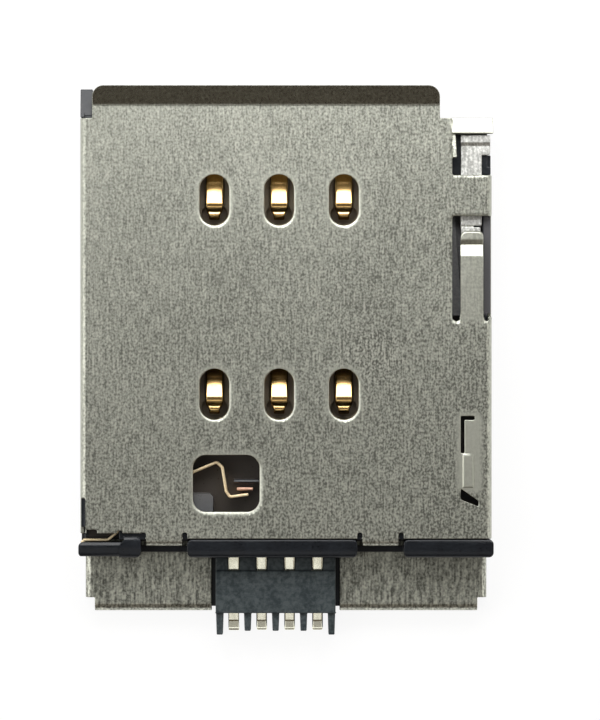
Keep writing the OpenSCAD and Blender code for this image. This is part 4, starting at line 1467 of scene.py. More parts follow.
@dataclass
class Comb:
    """Moulded comb that spaces the four rear tails."""

    at: Stations
    step: tuple[float, float] = (0.085, 0.032)
    body_rear: float = 0.25
    tooth: tuple[float, float] = (0.3, 0.24)
    tooth_h: float = 1.375
    edge_r: float = 0.035

    def build(self, finish: Material) -> None:
        """Model the comb and deliver it."""
        at = self.at
        low, high = at.comb
        y_shelf = at.y_bar - at.shelf
        y_body = at.base[0].y - self.body_rear
        body = block("comb", (low.x, y_body, 0), (high.x, y_shelf, high.z))
        lean(body, y_shelf, high.z, self.step)
        z_shelf = at.z_strip + at.strip / 2 + at.edge_gap
        parts = [
            block("foot", (low.x, y_shelf - LAP, 0), (high.x, high.y, at.z_base - at.sheet)),
            block("shelf", (low.x, y_shelf - LAP, 0), (high.x, at.y_bar - at.fit_gap, z_shelf)),
            *self.teeth(y_body),
        ]
        combine(body, parts, Joining.WELD)
        half = at.tail_w / 2 + at.fit_gap
        bottom = at.z_strip - at.strip / 2 - at.fit_gap
        roof = at.z_strip + at.strip / 2 + at.fit_gap
        front = at.y_bar + OVER
        tools = []
        for x in at.tails:
            tools.append(block("slot", (x - half, low.y - OVER, bottom), (x + half, front, roof)))
            tools.append(block("slot", (x - half, y_shelf, bottom), (x + half, front, high.z + OVER)))
        combine(body, tools, Joining.CUT)
        soften(body, self.edge_r, 3)
        deliver(body, Body.SOCKET, finish, ["tail_comb"])

    def teeth(self, y_body: float) -> list[Object]:
        """Make the tapered ribs on both sides of each tail, the end ones longer."""
        low, high = self.at.comb
        middle = (low.x + high.x) / 2
        root, end = self.tooth
        last = self.at.tail_count
        made = []
        for i in range(last + 1):
            x = middle + (i - last / 2) * self.at.tail_pitch
            y_tip = low.y + (0 if i in (0, last) else self.at.rib_short)
            tooth = block("tooth", (x - root / 2, y_tip, 0), (x + root / 2, y_body + LAP, self.tooth_h))
            pick(tooth, Element.POINT, lambda place, normal: place.y < y_tip + TINY)
            bpy.ops.transform.resize(value=(end / root, 1, 1), center_override=(x, y_tip, 0))
            leave_edit()
            made.append(tooth)
        return made


# Deck


@dataclass
class Deck:
    """Black moulding with floor, walls, rear bar, corner post, rail and the seats of the metal parts."""

    at: Stations
    cover: Cover
    wall_left: float = 0.31
    wall_right: float = 0.18
    wall_rear: float = 0.36
    wall_end: float = 0.95
    lane_w: float = 12.1
    rail: tuple[float, float] = (0.18, 0.3)
    bar_lift: float = 0.06
    bar_soft: tuple[float, float] = (0.5, 0.2)
    facet: tuple[float, float] = (0.115, 0.041)
    gate_slant: float = 0.2
    end_r: float = 0.19
    end_step: float = 0.045
    bar_lead: float = 0.07
    gate: tuple[float, float] = (-6.55, 0.13)
    gate_lift: float = 0.06
    # Depth of the black block behind each tab, put there as painted shade for the tab's shadow
    shade_web: float = 0.26
    cam_w: float = 1.46
    cam_h: float = 0.44
    run_gap: float = 0.06
    post_drop: float = 0.12
    post_fall: float = 0.31
    switch_block: tuple[float, float, float] = (0.8, -5.23, 0.72)
    block_left: float = 0.3
    block_fall: float = 0.44
    block_corner: float = 0.14
    ledge_x: tuple[float, float] = (-2.05, -1.0)
    ledge_y: tuple[float, float] = (-4.80, -4.69)
    ledge_h: float = 0.55
    ledge_slope: float = 0.35
    shoulder_y: tuple[float, float] = (7.57, 8.04)
    shoulder_step: float = 0.14
    lug: tuple[float, float] = (0.18, 0.03)
    rest_rear: float = 0.3
    pocket: tuple[float, float] = (1.02, 3.71)
    pocket_round: float = 0.45
    cheek: tuple[float, float] = (0.74, -0.22)
    hole_r: float = 0.23
    mouth: tuple[float, float] = (0.15, 0.3)
    edge_r: float = 0.03

    @property
    def y_inner(self) -> float:
        """Inner face of the rear wall."""
        return self.at.y_rear + self.wall_rear

    @property
    def lane_left(self) -> float:
        """Left side of the card's lane."""
        return -self.at.base_half + self.wall_left

    def build(self, finish: Material) -> None:
        """Model the deck and deliver it."""
        at = self.at
        foot = self.y_inner - LAP
        half = at.base_half
        left = self.lane_left
        right = half - self.wall_right
        z_cam = at.slider[0].z + self.cam_h
        deck = block("deck", (-half, foot, at.z_base), (half, at.y_corner, at.z_floor))
        lane_right = left + self.lane_w
        rail_w, rail_h = self.rail
        cam_left = right - self.run_gap - self.cam_w
        z_post = at.z_roof - self.post_drop
        y_open = self.cover.y_open + at.edge_gap
        y_step, y_end = self.shoulder_y
        z_step = z_cam - self.shoulder_step
        y_stop = at.slider[1].y + self.run_gap
        outer = at.cover_half - at.edge_gap
        rest = self.rest_plan()
        lug_h, lug_gap = self.lug
        y_lug = at.y_rear + self.cover.slit - lug_gap
        rail_high = (lane_right + rail_w, at.y_corner, at.z_floor + rail_h)
        parts = [
            block("wall", (-half, foot, at.z_base), (left, at.y_corner, at.z_roof)),
            block("wall", (-half, at.y_corner - LAP, at.z_base), (left, at.y_corner + LAP, z_post)),
            self.post(left, z_post),
            block("wall", (right, foot, at.z_base), (half, at.y_corner, z_cam)),
            block("wall", (right, foot, at.z_base), (half, at.link[0].y - self.wall_end, at.z_roof)),
            block("wall", (-half, at.y_rear - at.edge_gap, at.z_base), (half, self.y_inner, at.z_roof)),
            block("rail", (lane_right, foot, at.z_base), rail_high),
            block("stop", (cam_left, y_stop, at.z_base), (right + LAP, at.y_corner, z_cam)),
            block("shoulder", (half - LAP, y_open, at.z_base), (outer, y_step, z_cam)),
            block("shoulder", (half - LAP, y_step - LAP, at.z_base), (outer, y_end, z_step)),
            self.ledge(),
            self.switch_post(foot),
            block("rest", (*rest.low, at.z_floor + LAP + TINY), (*rest.high, z_cam)),
            block("lug", (-outer, at.y_rear, at.z_roof - lug_h), (left, y_lug, at.z_roof)),
            block("sill", (-outer, at.y_rear - LAP, at.z_base), (left, self.cover.y_rear_left, at.z_floor)),
        ]
        combine(deck, parts, Joining.WELD)
        combine(deck, self.bar(), Joining.WELD)
        combine(deck, [*self.pockets(), *self.seats()], Joining.CUT)
        soften(deck, self.edge_r, 2)
        deliver(deck, Body.SOCKET, finish, ["deck_housing"])

    def inside_plan(self) -> Opening:
        """Give the room between the walls, in plan."""
        at = self.at
        half = at.base_half - 2 * LAP
        return Opening((-half, at.y_rear + LAP), (half, at.y_corner - 2 * LAP), TINY)

    def rest_plan(self) -> Opening:
        """Give the place of the rest beside the finger, in plan."""
        at = self.at
        low = (at.base_half - LAP, self.cover.y_root + self.rest_rear)
        return Opening(low, (at.cover_half - at.edge_gap, self.cover.y_head - at.edge_gap), TINY)

    def post(self, right: float, top: float) -> Object:
        """Mould the corner post, with a top that falls towards the mouth.

        Args:
            right: its right side.
            top: level of its rear end.

        Returns:
            The post.
        """
        at = self.at
        front = at.deck[1].y
        low = (-at.cover_half, at.y_corner + at.edge_gap, at.z_base)
        return sink(block("post", low, (right, front, top)), front, top, self.post_fall)

    def ledge(self) -> Object:
        """Mould the low wall in front of the fixed contact, with a top that falls towards the mouth."""
        at = self.at
        top = at.z_floor + self.ledge_h
        rear, front = self.ledge_y
        ledge = block("ledge", (self.ledge_x[0], rear, at.z_base), (self.ledge_x[1], front, top))
        return sink(ledge, front, top, self.ledge_slope * (front - rear))

    def switch_post(self, foot: float) -> Object:
        """Mould the block beside the switch, with a top that falls towards the mouth."""
        at = self.at
        wide, front, high = self.switch_block
        left = self.cover.window_plan().low[0]
        top = at.z_floor + high
        post = block("switch_post", (left - self.block_left, foot, at.z_base), (left + wide, front, top))
        sink(post, front, top, self.block_fall)
        corner = along(Axis.Z, lambda middle: middle.x > left and middle.y > front - TINY)
        return round_edges(post, corner, self.block_corner, 1)

    def bar(self) -> list[Object]:
        """Mould the pieces of the rear bar, the bridges under the cover's tabs and the black blocks behind
        them, which are painted shade for the tabs' shadow.
        """
        at = self.at
        low, high = at.deck
        half = self.cover.tab_w / 2 + self.cover.tab_gap
        first, second = self.cover.tab_x
        front = at.y_rear - at.edge_gap
        x_gate, gate_rear = self.gate
        y_gate = at.y_rear - gate_rear
        y_lead = at.y_rear + self.bar_lead
        end = self.bar_piece(low.x, x_gate + OVER, y_gate, self.end_step)
        step = self.bar_piece(x_gate, first - half, y_lead)
        slant = y_lead - self.facet[0] - TINY
        aside = (self.gate_slant, 0, 0)
        move_points(step, lambda place: place.x < x_gate + TINY and place.y > slant, aside)
        made = [
            self.trim(end, low.x, x_gate + 2 * OVER, y_gate),
            self.trim(step, x_gate - OVER, first - half, y_lead),
        ]
        for left, right in ((first + half, second - half), (second + half, high.x)):
            made.append(self.trim(self.bar_piece(left, right, front), left, right, front))
        y_tab = at.cover[0].y
        y_bridge = y_tab + at.sheet + at.fit_gap
        y_shade_web = y_tab - at.fit_gap
        for x in self.cover.tab_x:
            left, right = x - half - LAP, x + half + LAP
            bridge_high = (right, self.y_inner, at.z_floor + LAP)
            made.append(block("bridge", (left, y_bridge, at.z_base), bridge_high))
            # Black block behind the tab: painted shade standing in for its shadow
            made.append(block("shade_web", (left, y_tab - self.shade_web, at.z_base), (right, y_shade_web, at.z_floor)))
        return made

    def bar_piece(self, left: float, right: float, front: float, step: float = 0.0) -> Object:
        """Mould a piece of the bar, with a narrow facet in front and a soft rear.

        Args:
            left: its left end.
            right: its right end.
            front: its front face.
            step: distance of its top and rear from the bar's.

        Returns:
            The piece.
        """
        rear = self.at.y_bar + step
        high = self.at.deck[1].z + self.bar_lift - step
        piece = block("bar", (left, rear, self.at.z_base), (right, front, high))
        lean(piece, front, high, self.facet)
        deep, drop = self.bar_soft
        deep = min(deep, front - rear - self.facet[0] - LAP / 2)
        round_edges(piece, along(Axis.X, lambda m: m.z > high - TINY and m.y < rear + TINY), deep, 5)
        pick(piece, Element.POINT, lambda p, n: p.y < rear + deep - TINY and p.z > high - deep - TINY)
        bpy.ops.transform.resize(value=(1, 1, drop / deep), center_override=(0, 0, high))
        leave_edit()
        return piece

    def trim(self, piece: Object, left: float, right: float, front: float) -> Object:
        """Round the upright edges of a piece of the bar.

        Args:
            piece: piece of the bar.
            left: left end of the trimming plate.
            right: right end of the trimming plate.
            front: front face of the piece.

        Returns:
            The same piece.
        """
        low = (left + TINY, self.at.y_bar + TINY, self.at.z_base - OVER)
        form = plate("form", low, (right - TINY, front - TINY, self.at.z_top + OVER), self.end_r)
        return combine(piece, [form], Joining.TRIM)

    def pockets(self) -> list[Object]:
        """Make the tools of the pockets under the contact springs."""
        at = self.at
        wide, long = self.pocket
        narrow, y_cheek = self.cheek
        front = at.y_fold - self.cover.row_inset
        tools = []
        for x in at.columns:
            for y in (front, front - self.cover.row_pitch):
                rear = y + at.crown_lead - at.pocket_rear
                low = (x - wide / 2, rear, at.z_base + LAP)
                top = at.z_floor + OVER
                radius = self.pocket_round * (y + y_cheek - rear)
                tools.append(plate("pocket", low, (x + wide / 2, y + y_cheek, top), radius))
                half = narrow / 2
                tools.append(block("pocket", (x - half, rear + LAP, low[2]), (x + half, rear + long, top)))
        return tools

    def seats(self) -> list[Object]:
        """Make the tools of the pivot hole, the leaf's way through the rear wall and the mouth's bevel."""
        at = self.at
        hole = pin("hole", (*self.cover.pivot, at.z_floor), self.hole_r, at.z_top)
        x_gate, gate_rear = self.gate
        way_low = (at.deck[0].x - OVER, at.y_rear - gate_rear, at.z_floor + self.gate_lift)
        way = block("way", way_low, (x_gate, self.y_inner + LAP, at.z_top))
        left = self.lane_left
        drop, run = self.mouth
        mouth = block(
            "mouth", (left, at.y_corner - run, at.z_floor - drop),
            (left + self.lane_w, at.y_corner + OVER, at.z_floor + LAP),
        )
        move_points(mouth, lambda place: place.y < at.y_corner and place.z < at.z_floor, (0, 0, drop))
        return [hole, way, mouth]


# Contacts


@dataclass
class Contacts:
    """Six gold-plated springs with their leads and tails, and the fixed contact's tail."""

    at: Stations
    cover: Cover
    wide: float = 0.70
    crown_back: float = 0.24
    crown_gap: float = 0.26
    # Bends of the spring from its crown, as distances along Y and in height, and their radii
    rise: tuple[float, float] = (0.85, 0.3)
    crest: tuple[float, float] = (0.05, 0.03)
    valley: tuple[float, float] = (0.22, 0.17)
    hump: tuple[float, float] = (0.36, 0.125)
    nose: tuple[float, float] = (0.5, 0.32)
    bends: tuple[float, ...] = (0.8, 0.2, 0.1, 0.09)
    tip_w: float = 0.62
    taper: tuple[float, float] = (0.12, 0.24)
    slope: float = 0.15
    dip: float = 0.07
    heel: float = 0.02
    toe: float = 0.045
    tail_bends: tuple[float, ...] = (0.3, 0.3, 0.1, 0.1, 0.1)
    front_leg: float = 0.3
    foot: float = 0.14
    knee: tuple[float, float] = (0.3, 0.33)
    side_step: float = 0.85
    lead_sides: tuple[int, int, int] = (1, 1, -1)
    lead_bends: tuple[float, ...] = (0.25, 0.3, 0.3)
    lead_run: float = 0.8
    root: float = 0.25
    root_r: float = 0.3
    beam: float = 2.5
    edge_r: float = 0.07

    def row(self, i: int) -> float:
        """Give the middle of a row of slots."""
        return self.at.y_fold - self.cover.row_inset - i * self.cover.row_pitch

    def build(self, finish: Material) -> None:
        """Model one spring of each row and copy it along, with a lead and tail for each rear one."""
        at = self.at
        front = self.spring("contact_front_1_strip", 0)
        rear = self.spring("contact_rear_1_strip", 1)
        for row, model in (("front", front), ("rear", rear)):
            for i, x in enumerate(at.columns):
                piece = self.copy(model, f"{row}_contact_{i + 1}", x - at.columns[0])
                if model is rear:
                    combine(piece, [self.lead(i), self.tail(at.tails[i + 1])], Joining.WELD)
                soften(piece, self.edge_r, 4)
                deliver(piece, Body.SOCKET, finish, [f"contact_{row}_{i + 1}"])
            bpy.data.meshes.remove(model.data)

    def copy(self, model: Object, name: str, shift: float) -> Object:
        """Copy a spring of the first column, with its own mesh, by a distance along X."""
        hold(model)
        bpy.ops.object.duplicate()
        piece = bpy.context.object
        piece.name = name
        bpy.ops.transform.translate(value=(shift, 0, 0))
        bake()
        return piece

    def spring(self, name: str, row: int) -> Object:
        """Bend a spring in the first column: root, rising arm, crown and narrow dipping nose.

        Args:
            name: the new object's name.
            row: 0 for the front row, which has its own leg and foot, or 1.

        Returns:
            The spring.
        """
        at = self.at
        x = at.columns[0]
        y = self.row(row)
        y_crown = y - self.crown_back
        z_crown = at.z_roof - self.crown_gap - at.strip / 2
        y_root = y + at.crown_lead + self.beam
        line = [
            (y_root, at.z_strip),
            (y_crown + self.rise[0], z_crown - self.rise[1]),
            (y_crown + self.crest[0], z_crown + self.crest[1]),
            *((y_crown - back, z_crown - drop) for back, drop in (self.valley, self.hump, self.nose)),
        ]
        radii = [self.root_r, *self.bends]
        if row == 0:
            y_leg = at.y_corner + self.front_leg
            sole = at.strip / 2
            line = [(at.y_front - self.front_leg, sole), (y_leg, sole), (y_leg, at.z_strip), *line]
            radii = [at.strip, at.strip, *radii]
        else:
            line = [(y_root + self.root + at.tail_w / 2, at.z_strip), *line]
        path = bent([(x, a, b) for a, b in line], radii)
        start, run = self.taper
        narrow = y_crown - start
        lost = 1.0 - self.tip_w
        widths = [1.0 - lost * min(max(narrow - place.y, 0.0) / run, 1.0) for place in path]
        return ribbon(name, path, (self.wide, 0, 0), at.strip, widths)

    def lead(self, i: int) -> Object:
        """Lay a rear contact's lead in the floor, from its root to its tail."""
        at = self.at
        x = at.columns[i]
        side = x + self.lead_sides[i] * self.side_step
        y_crown = self.row(1) + at.crown_lead
        y_root = y_crown + self.beam + self.root
        behind = y_crown - at.pocket_rear
        tail = at.tails[i + 1]
        way_out = [(tail, behind - self.lead_run), (tail, at.y_bar + LAP / 2)]
        line = [(x, y_root), (side, y_root), (side, behind), *way_out]
        return self.flat_strip("lead", bent([(a, b, at.z_strip) for a, b in line], self.lead_bends))

    def flat_strip(self, name: str, path: Sequence[Vector]) -> Object:
        """Make a flat strip of a tail's width along a line in the floor."""
        return ribbon(name, path, (0, 0, self.at.strip), self.at.tail_w)

    def tail(self, x: float) -> Object:
        """Bend a rear tail: through the comb, down and along the board."""
        at = self.at
        y_foot = at.comb[0].y + at.rib_short
        y_leg = y_foot + self.foot
        sole = at.strip / 2
        run, fall = self.knee
        line = [
            (at.y_bar + LAP, at.z_strip + self.slope),
            (at.y_bar - at.shelf, at.z_strip),
            (y_leg + 2 * run, at.z_strip),
            (y_leg + run, at.z_strip - self.dip),
            (y_leg + self.heel, at.z_strip - fall),
            (y_leg, sole + self.toe),
            (y_foot, sole),
        ]
        half = at.tail_w / 2
        return side_ribbon("tail", line, self.tail_bends, x - half, x + half, at.strip)


@dataclass
class Switch:
    """Card switch: a long leaf on edge and the fixed contact that it meets."""

    at: Stations
    contacts: Contacts
    cover: Cover
    leaf_t: float = 0.12
    leaf_h: float = 0.6
    lift: float = 0.08
    leg_l: float = 0.44
    root_back: float = 0.05
    root_l: float = 1.0
    knee: tuple[float, float] = (1.48, 0.42)
    # Bends of the leaf in the window, from the window's rear left corner, and the radii of all bends
    entry: tuple[float, float] = (0.0, 1.55)
    crest: tuple[tuple[float, float], ...] = ((0.93, 1.94), (1.15, 1.73))
    heel: tuple[tuple[float, float], ...] = ((1.30, 0.79), (1.45, 0.57))
    tip: tuple[float, float] = (2.18, 0.67)
    bends: tuple[float, ...] = (0.12, 0.2, 0.6, 0.3, 0.12, 0.12, 0.12, 0.1)
    gap: float = 0.05
    meeting: float = 0.72
    terminal: tuple[float, float] = (0.13, 0.64)
    lead_steps: tuple[float, float] = (0.35, 0.95)
    lead_r: float = 0.3
    edge_r: float = 0.04

    def build(self, gold: Material, copper: Material) -> None:
        """Model the leaf and the fixed contact and deliver them."""
        leaf = self.leaf()
        soften(leaf, self.edge_r, 3)
        deliver(leaf, Body.SOCKET, gold, ["switch_spring"])
        fixed = self.fixed()
        soften(fixed, self.edge_r, 3)
        deliver(fixed, Body.SOCKET, copper, ["switch_terminal"])

    def leaf(self) -> Object:
        """Bend the leaf: leg, root in the bar, long arm, crest, heel and tip."""
        at = self.at
        leg_x = -at.base_half - at.fit_gap - self.leaf_t / 2
        root = at.y_rear - self.root_back
        left, rear = self.cover.window_plan().low
        in_window = (self.entry, *self.crest, *self.heel, self.tip)
        line = [
            (leg_x, root - self.leg_l), (leg_x, root), (leg_x + self.root_l, root),
            (leg_x + self.knee[0], root + self.knee[1]),
            *((left + x, rear + y) for x, y in in_window),
        ]
        middle = at.z_floor + self.lift + self.leaf_h / 2
        path = bent([(x, y, middle) for x, y in line], self.bends)
        leaf = ribbon("switch_leaf", path, (0, 0, self.leaf_h), self.leaf_t)
        slim = self.leaf_t / 2 - 3 * TINY
        y_leg = root - self.leg_l + 5 * TINY
        leg = block("leg", (leg_x - slim, y_leg, 0), (leg_x + slim, root - LAP, middle))
        return combine(leaf, [leg], Joining.WELD)

    def fixed(self) -> Object:
        """Make the fixed contact: an upright blade, its lead and its tail."""
        at = self.at
        shift, wide = self.terminal
        left = at.tails[0] + shift
        y = self.cover.window_plan().low[1] + self.meeting + self.leaf_t + self.gap
        half = self.leaf_t / 2
        blade = block(
            "switch_contact", (left, y - half, at.z_strip - at.strip / 2),
            (left + wide, y + half, at.z_floor + self.lift + self.leaf_h),
        )
        root = left + at.tail_w / 2
        tail = at.tails[0]
        first, second = (y - step for step in self.lead_steps)
        line = [(root, y), (root, first), (tail, second), (tail, at.y_bar + LAP / 2)]
        path = bent([(a, b, at.z_strip) for a, b in line], [self.lead_r, self.lead_r])
        parts = [self.contacts.flat_strip("lead", path), self.contacts.tail(tail)]
        return combine(blade, parts, Joining.WELD)


# Ejector


@dataclass
class Ejector:
    """Moulded slider with its heart-shaped track, the stamped cam link and the eject spring."""

    at: Stations
    cover: Cover
    deck: Deck
    arm_reach: float = 2.0
    arm_d: float = 0.8
    arm_h: float = 0.47
    arm_corner: float = 0.35
    arm_short: float = 0.18
    slider_front: float = 7.75
    seat: float = 4.2
    spring_d: float = 0.68
    wire_d: float = 0.11
    wire_sides: int = 8
    turns: int = 13
    turn_steps: int = 20
    closed: float = 1.1
    track_w: float = 0.34
    track_d: float = 0.28
    swing: float = 0.3
    travel: float = 3.9
    lock: float = 3.3
    pin_r: float = 0.11
    pin_lift: float = 0.22
    pin_root: float = 0.02
    pivot_r: float = 0.2
    link_t: float = 0.15
    link_w: float = 0.82
    link_r: float = 0.08
    link_step: float = 0.38
    neck_w: float = 0.5
    neck_r: float = 0.16
    neck_shift: float = 0.06
    neck_drop: float = 0.08
    shoulder_l: float = 0.5
    shoulder_in: tuple[float, float] = (0.06, 0.05)
    shoulder_gap: float = 0.06
    shoulder_drop: float = 0.02
    shoulder_r: float = 0.05
    head_l: float = 0.78
    link_l: float = 6.37
    cam_wall: float = 0.13
    band: float = 0.37
    band_lift: float = 0.075
    band_flare: float = 0.05
    edge_r: float = 0.03
    link_edge_r: float = 0.025

    @property
    def cam_x(self) -> float:
        """Straight branch of the cam track."""
        return self.at.slider[1].x - self.cam_wall - self.track_w / 2 - self.swing

    @property
    def y_pin(self) -> float:
        """Place of the link's cam pin."""
        return self.cover.pivot[1] - self.link_l

    @property
    def y_seat(self) -> float:
        """Seat of the spring in the slider."""
        return self.at.slider[1].y - self.slider_front + self.seat

    @property
    def spring_axis(self) -> tuple[float, float]:
        """Axis of the spring, as x and z."""
        left = self.at.slider[0].x + self.arm_reach
        cam_left = self.at.slider[1].x - self.deck.cam_w
        return (left + cam_left) / 2, (self.at.slider[0].z + self.at.slider[1].z) / 2

    def build(self, resin: Material, steel: Material) -> None:
        """Model the slider, the link and the spring and deliver them."""
        slider = self.slider()
        soften(slider, self.edge_r, 2)
        deliver(slider, Body.SLIDER, resin, ["ejector_slider"])
        link = self.link()
        soften(link, self.link_edge_r, 2)
        deliver(link, Body.LINK, steel, ["cam_link"])
        coil = self.coil()
        deliver(coil, Body.SOCKET, steel, ["eject_spring"])
        x, z = self.spring_axis
        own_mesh(coil)

    def slider(self) -> Object:
        """Mould the slider: body, cam block with its track, and arm across the card's edge."""
        at = self.at
        low, high = at.slider
        left = low.x + self.arm_reach
        cam_left = high.x - self.deck.cam_w
        y_pusher = high.y - self.slider_front
        z_cam = low.z + self.deck.cam_h
        body = block("slider", (left, low.y, low.z), (cam_left + LAP, high.y, high.z))
        arm_low = (low.x + self.arm_short, y_pusher - self.arm_d, high.z - self.arm_h)
        arm = block("arm", arm_low, (left + LAP, y_pusher, high.z))
        x_arm = left - self.arm_reach / 2
        corner = along(Axis.Z, lambda middle: middle.x < x_arm and middle.y > y_pusher - TINY)
        round_edges(arm, corner, self.arm_corner, 1)
        cam = block("cam", (cam_left, self.y_pin - self.neck_w, low.z), (high.x, high.y, z_cam))
        combine(body, [arm, cam], Joining.WELD)
        x = self.spring_axis[0]
        half = self.spring_d / 2 + self.deck.run_gap
        room_low = (x - half, low.y - OVER, low.z - OVER)
        room = block("channel", room_low, (x + half, self.y_seat, high.z + OVER))
        return combine(body, [room, *self.track()], Joining.CUT)

    def track(self) -> list[Object]:
        """Make the tools of the heart-shaped cam track."""
        x, y = self.cam_x, self.y_pin
        floor = self.at.slider[0].z + self.deck.cam_h - self.track_d
        ends = [Vector((x + side * self.swing, y + self.travel)) for side in (-1, 1)]
        start = Vector((x, y))
        lock = (Vector((x, y + self.travel)), Vector((x, y + self.lock)))
        runs = [(start, ends[0]), (start, ends[1]), (ends[0], ends[1]), lock]
        half = self.track_w / 2
        tools = []
        for a, b in runs:
            high = ((b - a).length + half, half, self.at.z_roof)
            tool = plate("track", (-half, -half, floor), high, ROUND_END * self.track_w)
            tool.rotation_euler = (0, 0, math.atan2(b.y - a.y, b.x - a.x))
            tool.location = (a.x, a.y, 0)
            hold(tool)
            bake()
            tools.append(tool)
        return tools

    def link(self) -> Object:
        """Stamp the link: raised front band, wide head, body, stepped neck and two pins."""
        at = self.at
        low, high = at.link
        z = high.z - self.link_t
        top = high.z - self.band_lift
        x, y = self.cover.pivot
        left = x - self.link_w / 2
        right = left + self.link_w
        y_step = self.cover.y_head - self.link_step
        body = plate("link", (left, y_step, z), (right, high.y - LAP, top), self.link_r, 4)
        y_band = high.y - self.band
        band = block("band", (left, y_band, z), (high.x, high.y, high.z))
        chamfer = self.band_lift + 5 * TINY
        round_edges(band, along(Axis.X, lambda m: m.z > high.z - TINY and m.y < y_band + TINY), chamfer, 1)
        move_points(band, lambda p: p.y < y_band + TINY, (0, -self.band_flare, 0))
        half = self.neck_w / 2
        neck_x = self.cam_x + self.neck_shift
        neck_low = (neck_x - half, self.y_pin - half, z)
        neck_high = (neck_x + half, y_step + self.neck_w, top - self.neck_drop)
        in_left, in_right = self.shoulder_in
        shoulder_low = (left + in_left, y_step - self.shoulder_l, z)
        shoulder_high = (right - in_right, y_step - self.shoulder_gap, top - self.shoulder_drop)
        z_pin = low.z + self.pin_lift
        parts = [
            plate("head", (left, high.y - self.head_l, z), (high.x, high.y - LAP, top), self.link_r, 4),
            band,
            plate("neck", neck_low, neck_high, self.neck_r, 4),
            plate("shoulder", shoulder_low, shoulder_high, self.shoulder_r, 3),
            pin("cam_pin", (self.cam_x, self.y_pin, z_pin), self.pin_r, z - z_pin + self.pin_root),
            pin("pivot", (x, y, low.z), self.pivot_r, z - low.z + self.pin_root),
        ]
        return combine(body, parts, Joining.WELD)

    def coil(self) -> Object:
        """Wind the spring: closed turns at both ends and even turns between them."""
        at = self.at
        x, z = self.spring_axis
        wire_r = self.wire_d / 2
        start = self.deck.y_inner + at.fit_gap + wire_r
        end = self.y_seat - at.fit_gap - wire_r
        closed = self.closed * self.wire_d
        pitch = (end - start - 2 * closed) / self.turns
        windings = []
        stretches = [(start, closed, 1), (start + closed, pitch, self.turns), (end - closed, closed, 1)]
        for foot, rise, count in stretches:
            bpy.ops.object.select_all(action="DESELECT")
            place = (x, foot, z)
            bpy.ops.mesh.primitive_circle_add(vertices=self.wire_sides, radius=wire_r, location=place)
            winding = bpy.context.object
            bpy.ops.object.mode_set(mode="EDIT")
            bpy.ops.transform.translate(value=((self.spring_d - self.wire_d) / 2, 0, 0))
            leave_edit()
            modify(
                winding, "SCREW", axis="Y", screw_offset=rise, iterations=count,
                steps=self.turn_steps, render_steps=self.turn_steps, use_merge_vertices=True,
            )
            windings.append(winding)
        bpy.ops.object.select_all(action="DESELECT")
        for winding in windings:
            winding.select_set(True)
        bpy.context.view_layer.objects.active = windings[0]
        bpy.ops.object.join()
        coil = bpy.context.object
        coil.name = "eject_coil"
        bpy.ops.object.mode_set(mode="EDIT")
        bpy.ops.mesh.select_all(action="SELECT")
        bpy.ops.mesh.remove_doubles(threshold=TINY)
        bpy.ops.mesh.select_all(action="DESELECT")
        bpy.ops.mesh.select_non_manifold()
        bpy.ops.mesh.edge_face_add()
        bpy.ops.mesh.select_all(action="SELECT")
        bpy.ops.mesh.normals_make_consistent(inside=False)
        leave_edit()
        bake()
        bpy.ops.object.shade_smooth_by_angle(angle=math.radians(WIRE_SMOOTH))
        return coil


# Studio


